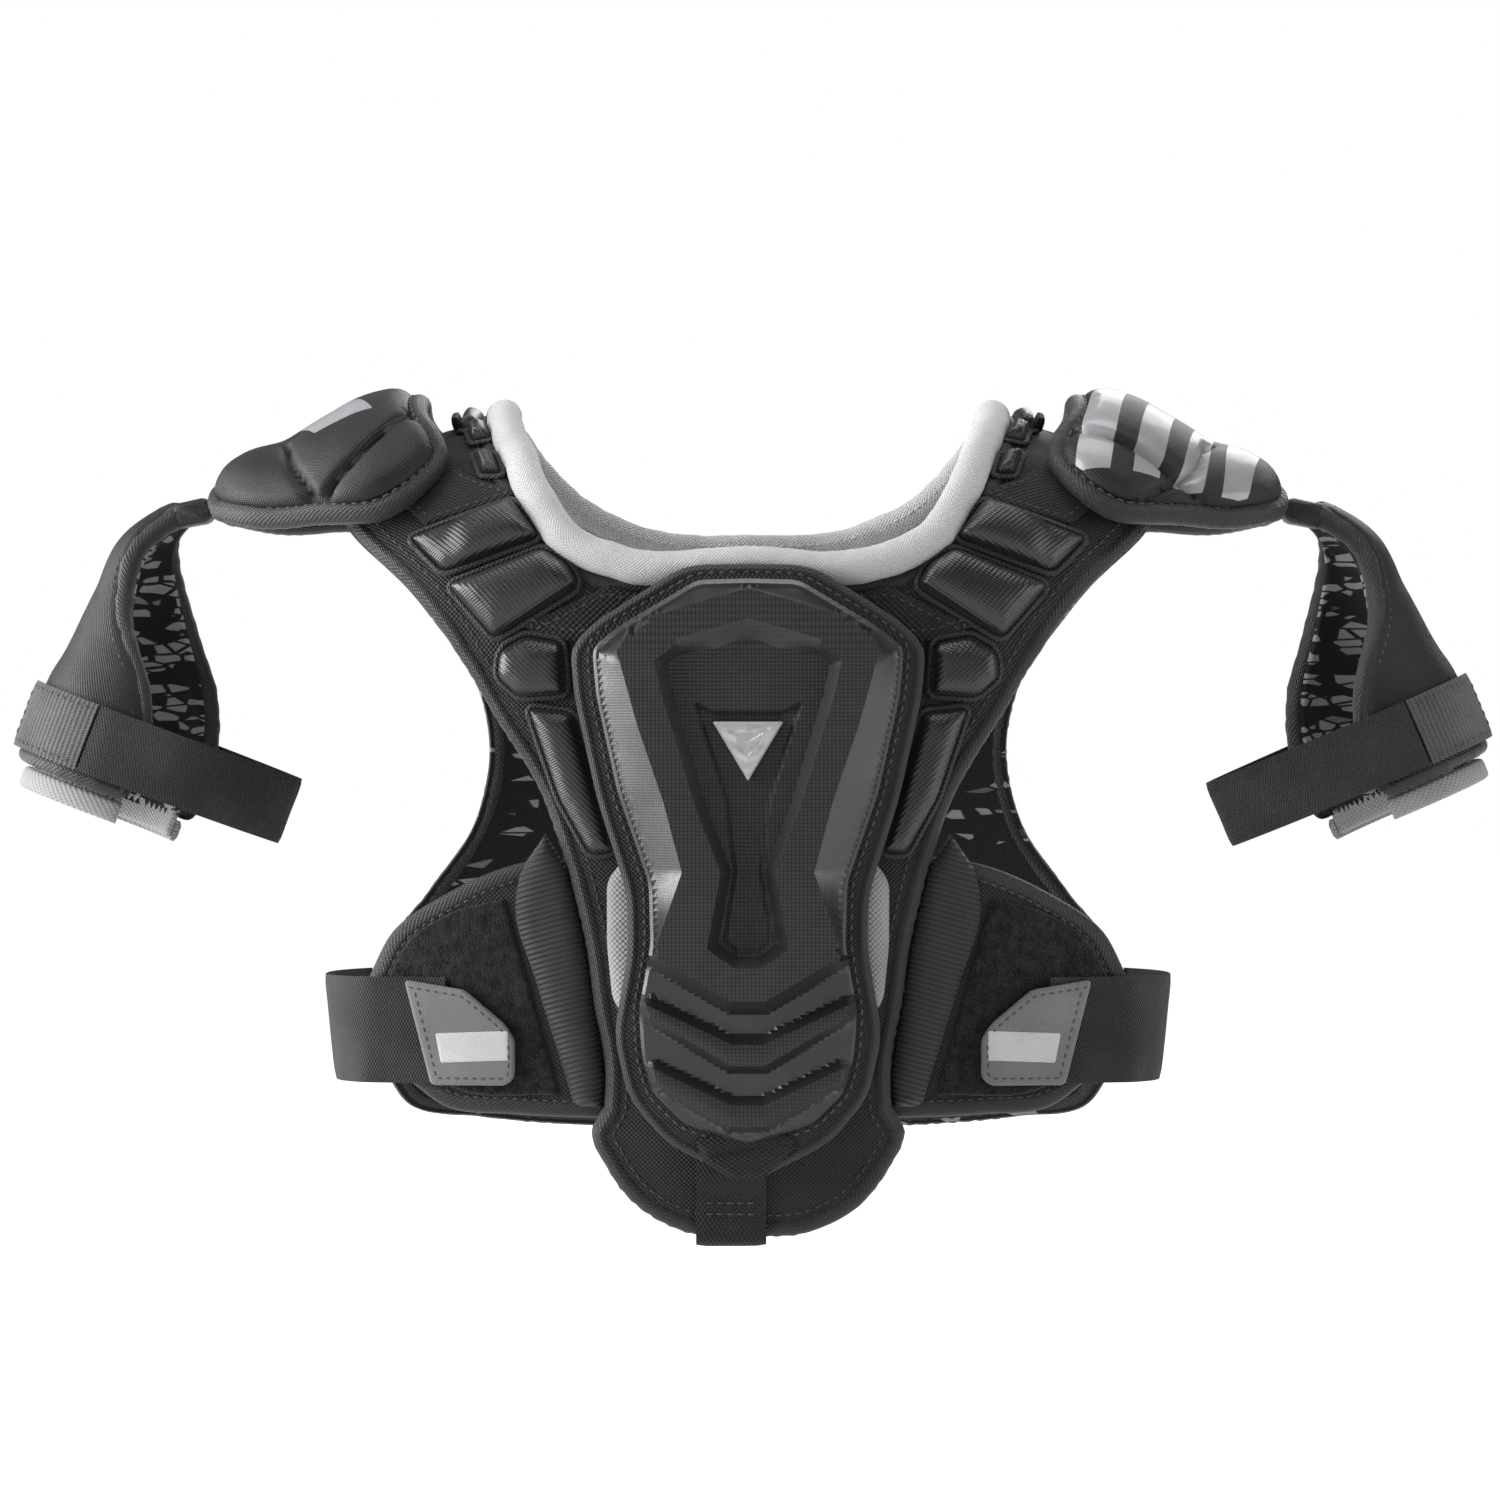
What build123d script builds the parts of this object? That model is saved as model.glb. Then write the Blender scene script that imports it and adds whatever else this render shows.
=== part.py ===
from build123d import *

# Youth shoulder pads for ice sports: a padded vest with a moulded sternum guard, two shoulder caps, two
# upper-arm guards with elastic straps, and two elastic side belts.
# Millimetres, +Z up. The wearer faces -Y, so the wearer's right side is -X. The origin is midway between
# the shoulders, level with the surface that rests on them at SEAT_X.
# Every layer of the vest lies on one torso form. A layer's lift is how far it stands off that form, so
# pieces that share a seat take their lifts from the same named values.

import os
from math import cos, pi, sin

# Torso form
CHEST_HALF_DEPTH = 72.0  # half depth at the breastbone
CHEST_HALF_WIDTH = 178.0  # half width at the ribs
PLAN_POWER = 2.3  # roundness of the plan section
ARCH_POWER = 2.3  # roundness of the arch over the shoulder
ARCH_SPRING_Z = -75.0  # the straight legs turn into the arch here
SHOULDER_DROP = 0.0015  # the shoulder line falls by this times x squared
SEAT_X = 105.0  # the strap bears on the shoulder here
TUCK_START_Z = -130.0  # the panels lean in below this height
TUCK_END_Z = -286.0
TUCK_DEPTH = 9.0  # how far they lean in at the lowest hem
FORM_BOTTOM_Z = -296.0  # the form's lower end, below every hem

# Layers, inside to outside
LAYER_GAP = 0.3  # running gap between stacked curved layers
SEAM_GAP = 0.6  # gap between neighbours in one layer
LINING_THICK = 2.0
WING_THICK = 4.5
LOOP_THICK = 1.2
PANEL_THICK = 6.0
RIB_THICK = 6.4
WEB_THICK = 1.6
GUARD_PAD_THICK = 4.0
GUARD_RIM_THICK = 2.6
FRAME_RISE = 9.0  # raised frame above the guard's rim
CHEVRON_RISE = 6.0
RECESS_FLOOR_RISE = 2.4
BADGE_THICK = 1.4
DRAFT = 28.0  # degrees, walls of the moulded guard

VEST_EDGE_X = 149.0  # outer edge of the vest at the shoulder

LOOP_LIFT = WING_THICK + LAYER_GAP
BELT_LIFT = LOOP_LIFT + LOOP_THICK + LAYER_GAP
BELT_TAB_LIFT = BELT_LIFT + WEB_THICK + LAYER_GAP
PANEL_LIFT = LOOP_LIFT
PANEL_TOP = PANEL_LIFT + PANEL_THICK
RIB_LIFT = PANEL_TOP + LAYER_GAP
RIB_TOP = RIB_LIFT + RIB_THICK
GUARD_LIFT = RIB_TOP + LAYER_GAP
RIM_LIFT = GUARD_LIFT + GUARD_PAD_THICK + LAYER_GAP
RIM_TOP = RIM_LIFT + GUARD_RIM_THICK
FRAME_TOP = RIM_TOP + FRAME_RISE
RECESS_FLOOR = RIM_TOP + RECESS_FLOOR_RISE

# Collar, guard foot and belts
COLLAR_RADIUS = 6.0
NECK_ROLL_RADIUS = 5.0
HEM_Z = -284.0  # lowest point of the front liner
FOOT_WIDTH = 25.0
FOOT_WRAP = 2.7  # middle of the tab where it folds under the hem, below the hem
FOOT_X = -6.0  # the foot tab sits a little to the wearer's right
CHEVRON_DEPTH = 7.5
CHEVRONS = ((-214.5, 14.0, 35.5), (-236.0, 13.0, 33.0))  # height at the middle, rise to the ends, reach
BELT_WIDTH = 38.0
BELT_Z = -211.0
BELT_OUT_X = 153.0  # outermost reach of a belt
BELT_LEAN = 4.0  # how much less it reaches at its lower edge
BELT_HINGE_X = 139.6  # the seam that a belt swings about
BELT_HINGE_STAND = 1.87  # how far the seam's middle stands off the anchor's own surface
BELT_HINGE_RADIUS = 1.8

# Shoulder caps. Each rib of the dome is its distance from the mid plane, and how far the cap's inside
# stands above and beyond the vest there; past the vest's edge it is measured from that edge.
CAP_RIBS = (
    (106, 2.0, -17.2),
    (125, 11.1, -7.7),
    (138, 12.7, -5.8),
    (150, 10.5, -5.6),
    (165, 1.5, -13.6),
    (181, -3.0, -24.6),
    (190, -9.0, -34.6),
    (197, -20.0, -44.6),
)
CAP_FOOT_Z = -40.0
CAP_POWER = 2.2
CAP_PAD_THICK = 8.5
CAP_BASE_THICK = 3.0
CAP_HALF_SPAN = 90.0  # clear of a cap's front and back
CAP_RIM = 5.0  # bound rim outside the quilted pad
CAP_HINGE = (110.5, 8.5)  # x and z
CAP_HINGE_RADIUS = 3.0
CAP_HINGE_HALF = 20.0
ANCHOR_WIDTH = 3.0
ANCHOR_HALF = 22.0

# Upper-arm guards, on an axis that leans outwards from the hinge at the cap's rim.
# Each station is distance down the axis, offset outwards, outer radius, front and back reach in degrees.
ARM_HINGE = (199.0, -24.0)  # x and z
ARM_HINGE_RADIUS = 5.4
ARM_HINGE_HALF = 11.0
ARM_LEAN = 20.6
LEFT_ARM_EXTRA_LEAN = 2.5
ARM_STATIONS = (
    (6.5, 1.0, 14.0, 45, 62),
    (18, 4.6, 18.5, 46, 88),
    (42, 1.5, 25.0, 60, 124),
    (64, -3.0, 31.5, 92, 148),
    (78, -4.0, 35.0, 104, 154),
    (92, -4.0, 36.0, 108, 155),
    (108, -4.0, 36.0, 106, 155),
)
ARM_PAD_THICK = 7.0
ARM_LINING_THICK = 2.4
ARM_TOP = 2.0  # the lining's cloth starts this far down the axis
ARM_FLAP_DROP = 9.0  # the lower flap hangs this far below the pad
ARM_FLAP_THICK = 3.0
STRAP_WIDTH = 25.0
STRAP_EASE = 0.6  # the strap stands off the pad by this much
STRAP_S = 91.0  # strap's middle, down the arm axis
STRAP_REACH = 64.0  # from the arm axis to the inner turn of the strap
ARM_TAB_START = 12  # degrees round from straight outwards
TAB_SEAM_ANGLE = 73.5  # the hook tab peels about this line
TAB_SEAM_GAP = 3.0  # degrees from that line to the strap

STATIONS = (-158, -130, -96, -50, 0, 50, 96, 130, 158)
LEG_HEIGHTS = (FORM_BOTTOM_Z, -262, -224, -180, -140, -105)
ARCH_STEPS = 7
STRIP_STEPS = 24


def shoulder_top(x):
    """Height of the form's crest, set so that the panel's inside is at zero height at SEAT_X."""
    return SHOULDER_DROP * (SEAT_X**2 - x * x) - PANEL_LIFT


def tuck(z):
    share = max(0.0, (TUCK_START_Z - z) / (TUCK_START_Z - TUCK_END_Z))
    return TUCK_DEPTH * share * share


def leg_depth(x, z, lift):
    """Distance of a layer's surface from the mid plane, below the arch."""
    across = 1 - (abs(x) / (CHEST_HALF_WIDTH + lift)) ** PLAN_POWER
    return (CHEST_HALF_DEPTH + lift) * across ** (1 / PLAN_POWER) - tuck(z)


def surface_depth(x, z, lift):
    """Distance of a layer's surface from the mid plane at any height."""
    crest = shoulder_top(x) + lift
    share = min(1.0, max(0.0, (z - ARCH_SPRING_Z) / (crest - ARCH_SPRING_Z)))
    return leg_depth(x, z, lift) * (1 - share**ARCH_POWER) ** (1 / ARCH_POWER)


def profile(x, lift):
    """One layer surface cut at x, from the hem up to the crest."""
    points = [(x, -leg_depth(x, z, lift), z) for z in LEG_HEIGHTS]
    rise = shoulder_top(x) + lift - ARCH_SPRING_Z
    spring = leg_depth(x, ARCH_SPRING_Z, lift)
    for step in range(ARCH_STEPS):
        turn = step / ARCH_STEPS * pi / 2
        y = spring * cos(turn) ** (2 / ARCH_POWER)
        points.append((x, -y, ARCH_SPRING_Z + rise * sin(turn) ** (2 / ARCH_POWER)))
    return points + [(x, 0, ARCH_SPRING_Z + rise)]


def ring(outer, inner):
    """Closed face between two open curves that run side by side."""
    sides = [Line(outer[-1], inner[-1]), Line(inner[0], outer[0])]
    return Face(Wire([Spline(*outer), sides[0], Spline(*reversed(inner)), sides[1]]))


def strip_face(points, thick, along):
    """Edge-on face of webbing that follows a path; along is the direction of its width."""
    path = Spline(*points)
    outer, inner = [], []
    for step in range(STRIP_STEPS + 1):
        share = step / STRIP_STEPS
        side = (path % share).cross(along).normalized() * (thick / 2)
        outer.append((path @ share) + side)
        inner.append((path @ share) - side)
    return ring(outer, inner)


def front_layer(low, high):
    """Solid between two lifts over the front half of the form, from the hem to the crest."""
    return loft([ring(profile(x, high), profile(x, low)) for x in STATIONS])


def runs(*pieces, mirrored=False):
    """Closed face from runs of points: two points make a line, more make a smooth curve."""
    edges = [Line(*run) if len(run) == 2 else Spline(*run) for run in pieces]
    if mirrored:
        edges += [edge.mirror(Plane.YZ) for edge in edges]
    return make_face(edges)


def polygon(*points, mirrored=False):
    """Closed straight-sided face. A mirrored one is given by one half, from its top to its bottom."""
    if mirrored:
        points = points + tuple((-x, z) for x, z in reversed(points) if x)
    return make_face(Polyline(*points, close=True))


def front_cut(layer, face):
    """What of a layer lies behind an outline in the front view."""
    return layer & extrude(Plane.XZ * face, amount=200)


def plan_cut(layer, face):
    """What of a layer's upper part lies under an outline in the plan view."""
    return layer & extrude(Plane.XY.offset(-70) * face, amount=120)


def mirror_x(shape):
    return mirror(shape, Plane.YZ)


def mirror_y(shape):
    return mirror(shape, Plane.XZ)


def solids_of(shapes):
    return [solid for shape in shapes for solid in shape.solids()]


def save(name, *shapes):
    found = solids_of(shapes)
    export_step(found[0] if len(found) == 1 else Compound(children=found), f"parts/{name}.step")


def save_pair(name, *shapes):
    """Writes the right-hand piece and its mirror image for the left."""
    save("right_" + name, *shapes)
    save("left_" + name, *[mirror_x(shape) for shape in shapes])


# ---- vest -------------------------------------------------------------------------------------
def front_outline():
    neck = [(0, -49), (-30, -49), (-50, -48.3), (-68, -39.5), (-82.4, -19), (-90, 0), (-97.5, 40)]
    shoulder = [(-VEST_EDGE_X, 40), (-VEST_EDGE_X, -8)]
    armhole = [shoulder[1], (-140, -32.5), (-115, -59), (-100, -81), (-90, -98), (-73.5, -125), (-63, -154)]
    side = [(-63, -154), (-57, -180), (-54, -201), (-50, -225), (-50.5, -238)]
    hem = [(-50.5, -238), (-55, -247), (-50, -259), (-39, -273), (-22, -282), (0, HEM_Z)]
    return runs(neck, (neck[-1], shoulder[0]), shoulder, armhole, side, hem, mirrored=True)


def back_outline():
    neck = [(0, -44.5), (-30, -43.5), (-50, -39), (-68, -29), (-82, -13.5), (-90, 0), (-97.5, 40)]
    shoulder = [(-VEST_EDGE_X, 40), (-VEST_EDGE_X, -8)]
    armhole = [shoulder[1], (-140, -32.5), (-118, -60), (-101, -86), (-96, -108), (-101, -137), (-120, -166)]
    side = [(-120, -166), (-131, -180), (-136, -200), (-134, -230)]
    hem = [(-134, -230), (-126, -242), (-100, -247), (-50, -251), (0, -252)]
    return runs(neck, (neck[-1], shoulder[0]), shoulder, armhole, side, hem, mirrored=True)


def wing_outline():
    top = [(-40, -150), (-84, -152.5), (-108, -163), (-126, -175.5), (-135, -192)]
    end = [(-135, -192), (-134, -215), (-121.5, -228.5)]
    bottom = [(-121.5, -228.5), (-108, -238), (-84, -240.5), (-40, -242)]
    return runs(top, end, bottom, (bottom[-1], top[0]))


def loop_outline():
    top = [(-87, -164), (-106, -169), (-121, -179), (-129, -193)]
    end = [(-129, -193), (-128, -212), (-117, -224.5)]
    bottom = [(-117, -224.5), (-104, -232), (-67.5, -234)]
    return runs(top, end, bottom, (bottom[-1], top[0]))


def side_pad_outline():
    outer = [(-72, -141), (-81, -156), (-82.5, -166), (-75, -194), (-64.5, -228)]
    foot = [(-64.5, -228), (-61, -237), (-52, -238)]
    inner = [(-51.2, -228), (-54.9, -201), (-58, -180), (-64, -153.5)]
    return runs(outer, foot, (foot[-1], inner[0]), inner, (inner[-1], outer[0]))


def chest_pad_outline():
    return polygon(
        (0, -57), (-27, -57), (-40, -78), (-44, -90), (-44, -150), (-50, -157),
        (-50, -180), (-48, -200), (-43, -206), (-43, -231), (-24, -243), (0, -246), mirrored=True,
    )  # fmt: skip


def collar_path(points, lift):
    """Closed-ended rope path over one half of the vest, through front-view points on a layer surface."""
    half = [(x, -surface_depth(x, z, lift), z) for x, z in points]
    crest_x = points[0][0] - 2
    half = [(crest_x, 0, shoulder_top(crest_x) + lift)] + half
    return Spline(*half, *[(-x, y, z) for x, y, z in reversed(half[:-1])])


def rope(path, radius):
    """Roll of padding along a path, trimmed to the front half so that it meets its neighbour at the crest."""
    roll = sweep(Plane(path @ 0, z_dir=path % 0) * Circle(radius), path=path)
    front = Location((0, -100 - LAYER_GAP / 2, -50)) * Box(400, 200, 300)
    return roll & front


def collar_rope(extra=0.0):
    points = [(-87, 4), (-83, -4), (-76, -18), (-63, -34.5), (-44, -42.3), (0, -42.7)]
    return rope(collar_path(points, PANEL_TOP), COLLAR_RADIUS + extra)


def back_rope(extra=0.0):
    """Roll of the back neck edge, still on the front half; it is mirrored when it is used."""
    points = [(-86, 3), (-80, -7), (-64, -25), (-42, -35.5), (0, -39)]
    return rope(collar_path(points, PANEL_LIFT + PANEL_THICK / 2), NECK_ROLL_RADIUS + extra)


def make_vest():
    panel = front_layer(PANEL_LIFT, PANEL_TOP)
    save("front_liner", front_cut(panel, front_outline()) - collar_rope(LAYER_GAP))
    save("back_liner", mirror_y(front_cut(panel, back_outline()) - back_rope(LAYER_GAP)))
    save_pair("wing", front_cut(front_layer(0, WING_THICK), wing_outline()))
    save_pair("loop_patch", front_cut(front_layer(LOOP_LIFT, LOOP_LIFT + LOOP_THICK), loop_outline()))
    save_pair("side_pad", front_cut(panel, side_pad_outline()))

    lining = front_layer(PANEL_LIFT - LAYER_GAP - LINING_THICK, PANEL_LIFT - LAYER_GAP)
    band = [(0, -46), (-34, -44.5), (-54, -38.5), (-72, -27), (-86, -9)]
    edge = [(-86, -9), (-92, -30), (-80, -62), (-40, -84), (0, -88)]
    save("back_neck_lining", mirror_y(front_cut(lining, runs(band, edge, mirrored=True))))

    save("collar_roll", collar_rope())
    save("back_neck_roll", mirror_y(back_rope()))


def make_ribs():
    layer = front_layer(RIB_LIFT, RIB_TOP)
    web = front_layer(RIB_LIFT, RIB_LIFT + WEB_THICK)
    top_ribs = [
        plan_cut(layer, polygon((-103.6, -3), (-103.6, -24), (-97, -24), (-95, -3))),
        front_cut(layer, polygon((-101, 4.3), (-93.5, 5), (-92, 0), (-99, -1))),
        front_cut(layer, polygon((-98, -5), (-91, -5.5), (-88, -13), (-95, -13))),
    ]
    collar = collar_rope(LAYER_GAP)
    save_pair("top_ribs", *[rib - collar for rib in top_ribs])
    save_pair("upper_rib", front_cut(layer, polygon((-121, -35.5), (-84, -22), (-74, -35.5), (-108.5, -48))))
    save_pair(
        "middle_rib",
        front_cut(layer, polygon((-106.5, -52.5), (-73, -39.6), (-64, -45), (-60, -53), (-90, -71))),
    )
    save_pair(
        "lower_rib",
        front_cut(layer, polygon((-88, -76), (-79, -70.5), (-66, -73), (-64.5, -91), (-81, -92), (-89, -85))),
    )
    save_pair(
        "side_rib", front_cut(layer, polygon((-78, -96), (-62, -98), (-47, -147), (-56, -148), (-67, -128)))
    )
    save("chest_pad", front_cut(layer, chest_pad_outline()))
    save_pair(
        "guard_tab", front_cut(web, polygon((-80, -67), (-50, -52.8), (-37, -56), (-47, -73), (-66, -72)))
    )
    save_pair(
        "cap_strap",
        front_cut(web, polygon((-126, -21), (-106, -9.5), (-98, -14), (-84.5, -18.5), (-83, -21), (-115, -31))),
    )
    anchor_x = CAP_HINGE[0] - CAP_HINGE_RADIUS - LAYER_GAP
    anchor = polygon(
        (-anchor_x, 0), (-anchor_x, -ANCHOR_HALF), (ANCHOR_WIDTH - anchor_x, -ANCHOR_HALF),
        (ANCHOR_WIDTH - anchor_x, 0),
    )  # fmt: skip
    half = plan_cut(layer, anchor)
    save_pair("cap_anchor", half + mirror_y(half))

    spine = polygon((0, -58), (-15, -62), (-19, -236), (0, -240), mirrored=True)
    save("spine_pad", mirror_y(front_cut(layer, spine)))
    blade = runs([(-24, -66), (-48, -52), (-82, -52), (-96, -62)], [(-96, -62), (-88, -104), (-62, -142)],
                 [(-62, -142), (-40, -146), (-26, -132)], ((-26, -132), (-24, -66)))  # fmt: skip
    save_pair("blade_pad", mirror_y(front_cut(layer, blade)))


# ---- sternum guard ----------------------------------------------------------------------------
def drafted(face, base, narrows):
    """Prism through the guard, as drawn at its front, that widens (or narrows) towards the chest."""
    front_y = -(CHEST_HALF_DEPTH + FRAME_TOP)
    plane = Plane(origin=(0, front_y, 0), x_dir=(1, 0, 0), z_dir=(0, 1, 0))
    return extrude(plane * face.mirror(Plane.XZ), amount=FRAME_TOP - base, taper=DRAFT if narrows else -DRAFT)


def guard_pad_outline():
    upper = [(0, -45.5), (26, -48.5), (54, -64.5), (63.5, -74), (61.5, -95), (53, -131), (42, -163)]
    upper.append((41.5, -183))
    lower = [upper[-1], (47, -212), (42, -234), (28, -250), (0, -264.5)]
    return runs(upper, lower, mirrored=True)


def guard_shell_outline():
    top = [(0, -50.5), (17, -50.5), (40, -63.5), (55.5, -74)]
    side = [(55.5, -74), (54.5, -92), (46, -126), (34, -158), (34, -176), (38.5, -201), (37.5, -219)]
    low = [(37.5, -219), (34.5, -231), (24, -242), (0, -251)]
    return runs(top[:2], top[1:3], top[2:], side, low, mirrored=True)


def chevron_outline(peak_z, rise, reach):
    """Downward-pointing bar across the guard, CHEVRON_DEPTH deep at the middle."""
    low = peak_z - CHEVRON_DEPTH
    return polygon(
        (0, peak_z), (-5.5, peak_z), (-reach, peak_z + rise), (-reach + 1, low + rise), (-6, low), (0, low),
        mirrored=True,
    )  # fmt: skip


def make_guard():
    pad = front_layer(GUARD_LIFT, GUARD_LIFT + GUARD_PAD_THICK)
    save("guard_pad", front_cut(pad, guard_pad_outline()))

    frame = polygon(
        (0, -55), (-30, -63.5), (-39, -66), (-45.5, -76), (-38.5, -102), (-29.5, -129), (-23, -154),
        (-33, -183), (-6, -199), (0, -199), mirrored=True,
    )  # fmt: skip
    recess = polygon(
        (0, -65), (-25, -72), (-32.5, -79.5), (-30, -91.5), (-18, -132), (-9.5, -154), (-14.3, -180.5),
        (-9.8, -184), (-4.5, -187.5), (0, -187.5), mirrored=True,
    )  # fmt: skip
    rim = front_cut(front_layer(RIM_LIFT, RIM_TOP), guard_shell_outline())
    inside = extrude(Plane.XZ * guard_shell_outline(), amount=200)
    shell = rim + (front_layer(RIM_LIFT + 1, FRAME_TOP) & drafted(frame, RIM_LIFT, False) & inside)
    bars = front_layer(RIM_LIFT + 1, RIM_TOP + CHEVRON_RISE)
    for peak_z, rise, reach in CHEVRONS:
        shell += bars & drafted(chevron_outline(peak_z, rise, reach), RIM_LIFT, False) & inside
    shell -= drafted(recess, RECESS_FLOOR, True) & front_layer(RECESS_FLOOR, FRAME_TOP + 1)
    shell = max(shell.solids(), key=lambda solid: solid.volume)
    save("guard_shell", shell)
    badge_layer = front_layer(RECESS_FLOOR + LAYER_GAP, RECESS_FLOOR + LAYER_GAP + BADGE_THICK)
    save("guard_badge", front_cut(badge_layer, polygon((-12.5, -101), (12.5, -101), (0, -122))))

    back = GUARD_LIFT - LAYER_GAP - WEB_THICK / 2
    face_lift = PANEL_TOP + LAYER_GAP + WEB_THICK / 2
    under = FOOT_WRAP - HEM_Z
    # Lift off the form and distance below the shoulder seat: down behind the guard, over the liner, under it
    spots = [(back, 249), (back, 257), (back - 0.8, 263), (face_lift + 1.1, 270), (face_lift + 0.3, 276)]
    spots += [(face_lift + 0.3, 281), (face_lift, under - 2), (face_lift - 2.4, under), (PANEL_LIFT + 1, under)]
    path = [(0, -leg_depth(0, -down, lift), -down) for lift, down in spots]
    foot = extrude(strip_face(path, WEB_THICK, Vector(1, 0, 0)), amount=FOOT_WIDTH, dir=(1, 0, 0))
    save("guard_foot", Location((FOOT_X - FOOT_WIDTH / 2, 0, 0)) * foot)


# ---- side belts -------------------------------------------------------------------------------
def belt_hinge_y():
    return leg_depth(BELT_HINGE_X, BELT_Z, RIB_LIFT + WEB_THICK / 2) + BELT_HINGE_STAND


def belt_points(z, lean):
    """Middle line of a right-hand belt in plan, at one of its edges."""
    on_front = [(-x, -leg_depth(x, z, BELT_LIFT + WEB_THICK / 2), z) for x in (108, 118, 128, 137)]
    out = BELT_OUT_X - lean
    loop = [(6 - out, -45, z), (0.8 - out, -26, z), (-out, 0, z), (2.5 - out, 28, z), (8 - out, 48, z)]
    return on_front + loop + [(-BELT_HINGE_X - 0.6, belt_hinge_y() - 1, z)]


def make_belts():
    top, bottom = BELT_Z + BELT_WIDTH / 2, BELT_Z - BELT_WIDTH / 2
    ends = ((bottom, BELT_LEAN), (top, 0))
    edges = [strip_face(belt_points(z, lean), WEB_THICK, Vector(0, 0, 1)) for z, lean in ends]
    seam = Location((-BELT_HINGE_X, belt_hinge_y(), BELT_Z)) * Cylinder(BELT_HINGE_RADIUS, BELT_WIDTH)
    save_pair("belt", loft(edges, ruled=True) + seam)
    tab = polygon(
        (-127, -192), (-114, -193.5), (-101, -195.5), (-86, -208), (-83, -214), (-83, -227.5), (-86, -230.5),
        (-127, -230.5),
    )  # fmt: skip
    save_pair("belt_tab", front_cut(front_layer(BELT_TAB_LIFT, BELT_TAB_LIFT + WEB_THICK), tab))
    hook = polygon((-105.5, -198), (-101.5, -199), (-88, -210), (-86, -215), (-86, -227), (-105.5, -227))
    save_pair("belt_hook", front_cut(front_layer(BELT_LIFT, BELT_LIFT + WEB_THICK), hook))
    anchor_x = BELT_HINGE_X - BELT_HINGE_RADIUS - SEAM_GAP
    anchor = polygon((-anchor_x, top - 1), (-112, top - 1), (-112, bottom + 1), (-anchor_x, bottom + 1))
    save_pair("belt_anchor", mirror_y(front_cut(front_layer(RIB_LIFT, RIB_LIFT + WEB_THICK), anchor)))


# ---- shoulder caps ----------------------------------------------------------------------------
def cap_arch(x, crest, depth):
    """One arch of a cap from its front foot over the crest to its back foot."""
    points = []
    for step in range(-ARCH_STEPS, ARCH_STEPS + 1):
        turn = step / ARCH_STEPS * pi / 2
        across = abs(sin(turn)) ** (2 / CAP_POWER)
        up = max(0.0, cos(turn)) ** (2 / CAP_POWER) if abs(step) < ARCH_STEPS else 0.0
        points.append((x, depth * across * (1 if step > 0 else -1), CAP_FOOT_Z + (crest - CAP_FOOT_Z) * up))
    return points


def cap_ribs():
    """Distance from the mid plane, crest height and half depth of each rib of a cap's outer surface."""
    thick = CAP_PAD_THICK + LAYER_GAP + CAP_BASE_THICK
    for x, rise, reach in CAP_RIBS:
        edge = min(x, VEST_EDGE_X)
        crest = shoulder_top(edge) + PANEL_TOP + thick + rise
        yield x, crest, leg_depth(edge, ARCH_SPRING_Z, PANEL_TOP) + thick + reach


def cap_layer(low, high):
    """Solid between two depths below a right-hand cap's outer surface."""
    sections = []
    for x, crest, depth in cap_ribs():
        outer, inner = cap_arch(-x, crest - low, depth - low), cap_arch(-x, crest - high, depth - high)
        sections.append(ring(outer, inner))
    return loft(sections)


def cap_outline(inset):
    """Front view of a cap's trimmed edge; its top is left open above the crest."""
    neck, foot, end = 107.5 + inset, -28 + inset, 195.5 - inset
    lower = [(-end, -17.5 + inset), (3 - end, -24 + inset), (14 - end, foot + 0.5), (-160, foot)]
    inner = [(-160, foot), (-126 - inset, foot + 2), (-112 - inset, -9.5), (-neck, -2), (-neck - 2, 5)]
    inner.append((-neck - 7, 13))
    above = [(-neck - 10, 30), (-end, 30)]
    return runs(lower, inner, (inner[-1], above[0]), above, (above[1], lower[0]))


def make_caps():
    base_low = CAP_PAD_THICK + LAYER_GAP
    base = cap_layer(base_low, base_low + CAP_BASE_THICK)
    base &= extrude(Plane.XZ * cap_outline(0), amount=CAP_HALF_SPAN, both=True)
    x, z = CAP_HINGE
    hinge = Location((-x, 0, z), (90, 0, 0)) * Cylinder(CAP_HINGE_RADIUS, 2 * CAP_HINGE_HALF)
    save_pair("cap_base", base + hinge)
    pad = cap_layer(0, CAP_PAD_THICK)
    save_pair("cap_pad", pad & extrude(Plane.XZ * cap_outline(CAP_RIM), amount=CAP_HALF_SPAN, both=True))


# ---- upper-arm guards -------------------------------------------------------------------------
def sector(s, offset, inner, outer, front, back):
    """Ring sector across the arm axis; outwards is -X, and it reaches round to the front and the back."""
    middle = Vector(-offset, 0, -s)
    ends = (180 - back, 180 + (front - back) / 2, 180 + front)
    far = [middle + Vector(outer, 0, 0).rotate(Axis.Z, angle) for angle in ends]
    near = [middle + Vector(inner, 0, 0).rotate(Axis.Z, angle) for angle in ends]
    sides = [Line(far[2], near[2]), Line(near[0], far[0])]
    return Face(Wire([ThreePointArc(*far), sides[0], ThreePointArc(*reversed(near)), sides[1]]))


def gutter(stations, low, high):
    """Tapering gutter between two depths below the arm guard's outer surface."""
    return loft([sector(s, offset, r - high, r - low, front, back) for s, offset, r, front, back in stations])


def around(angle, radius, z):
    """Point round the straight part of the arm guard; zero is outwards and a positive angle is frontwards."""
    return Vector(-ARM_STATIONS[-1][1], 0, z) + Vector(radius, 0, 0).rotate(Axis.Z, 180 + angle)


def between(s_top, s_low):
    """Everything between two distances down the arm axis."""
    return Location((0, 0, -(s_top + s_low) / 2)) * Box(300, 300, s_low - s_top)


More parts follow.
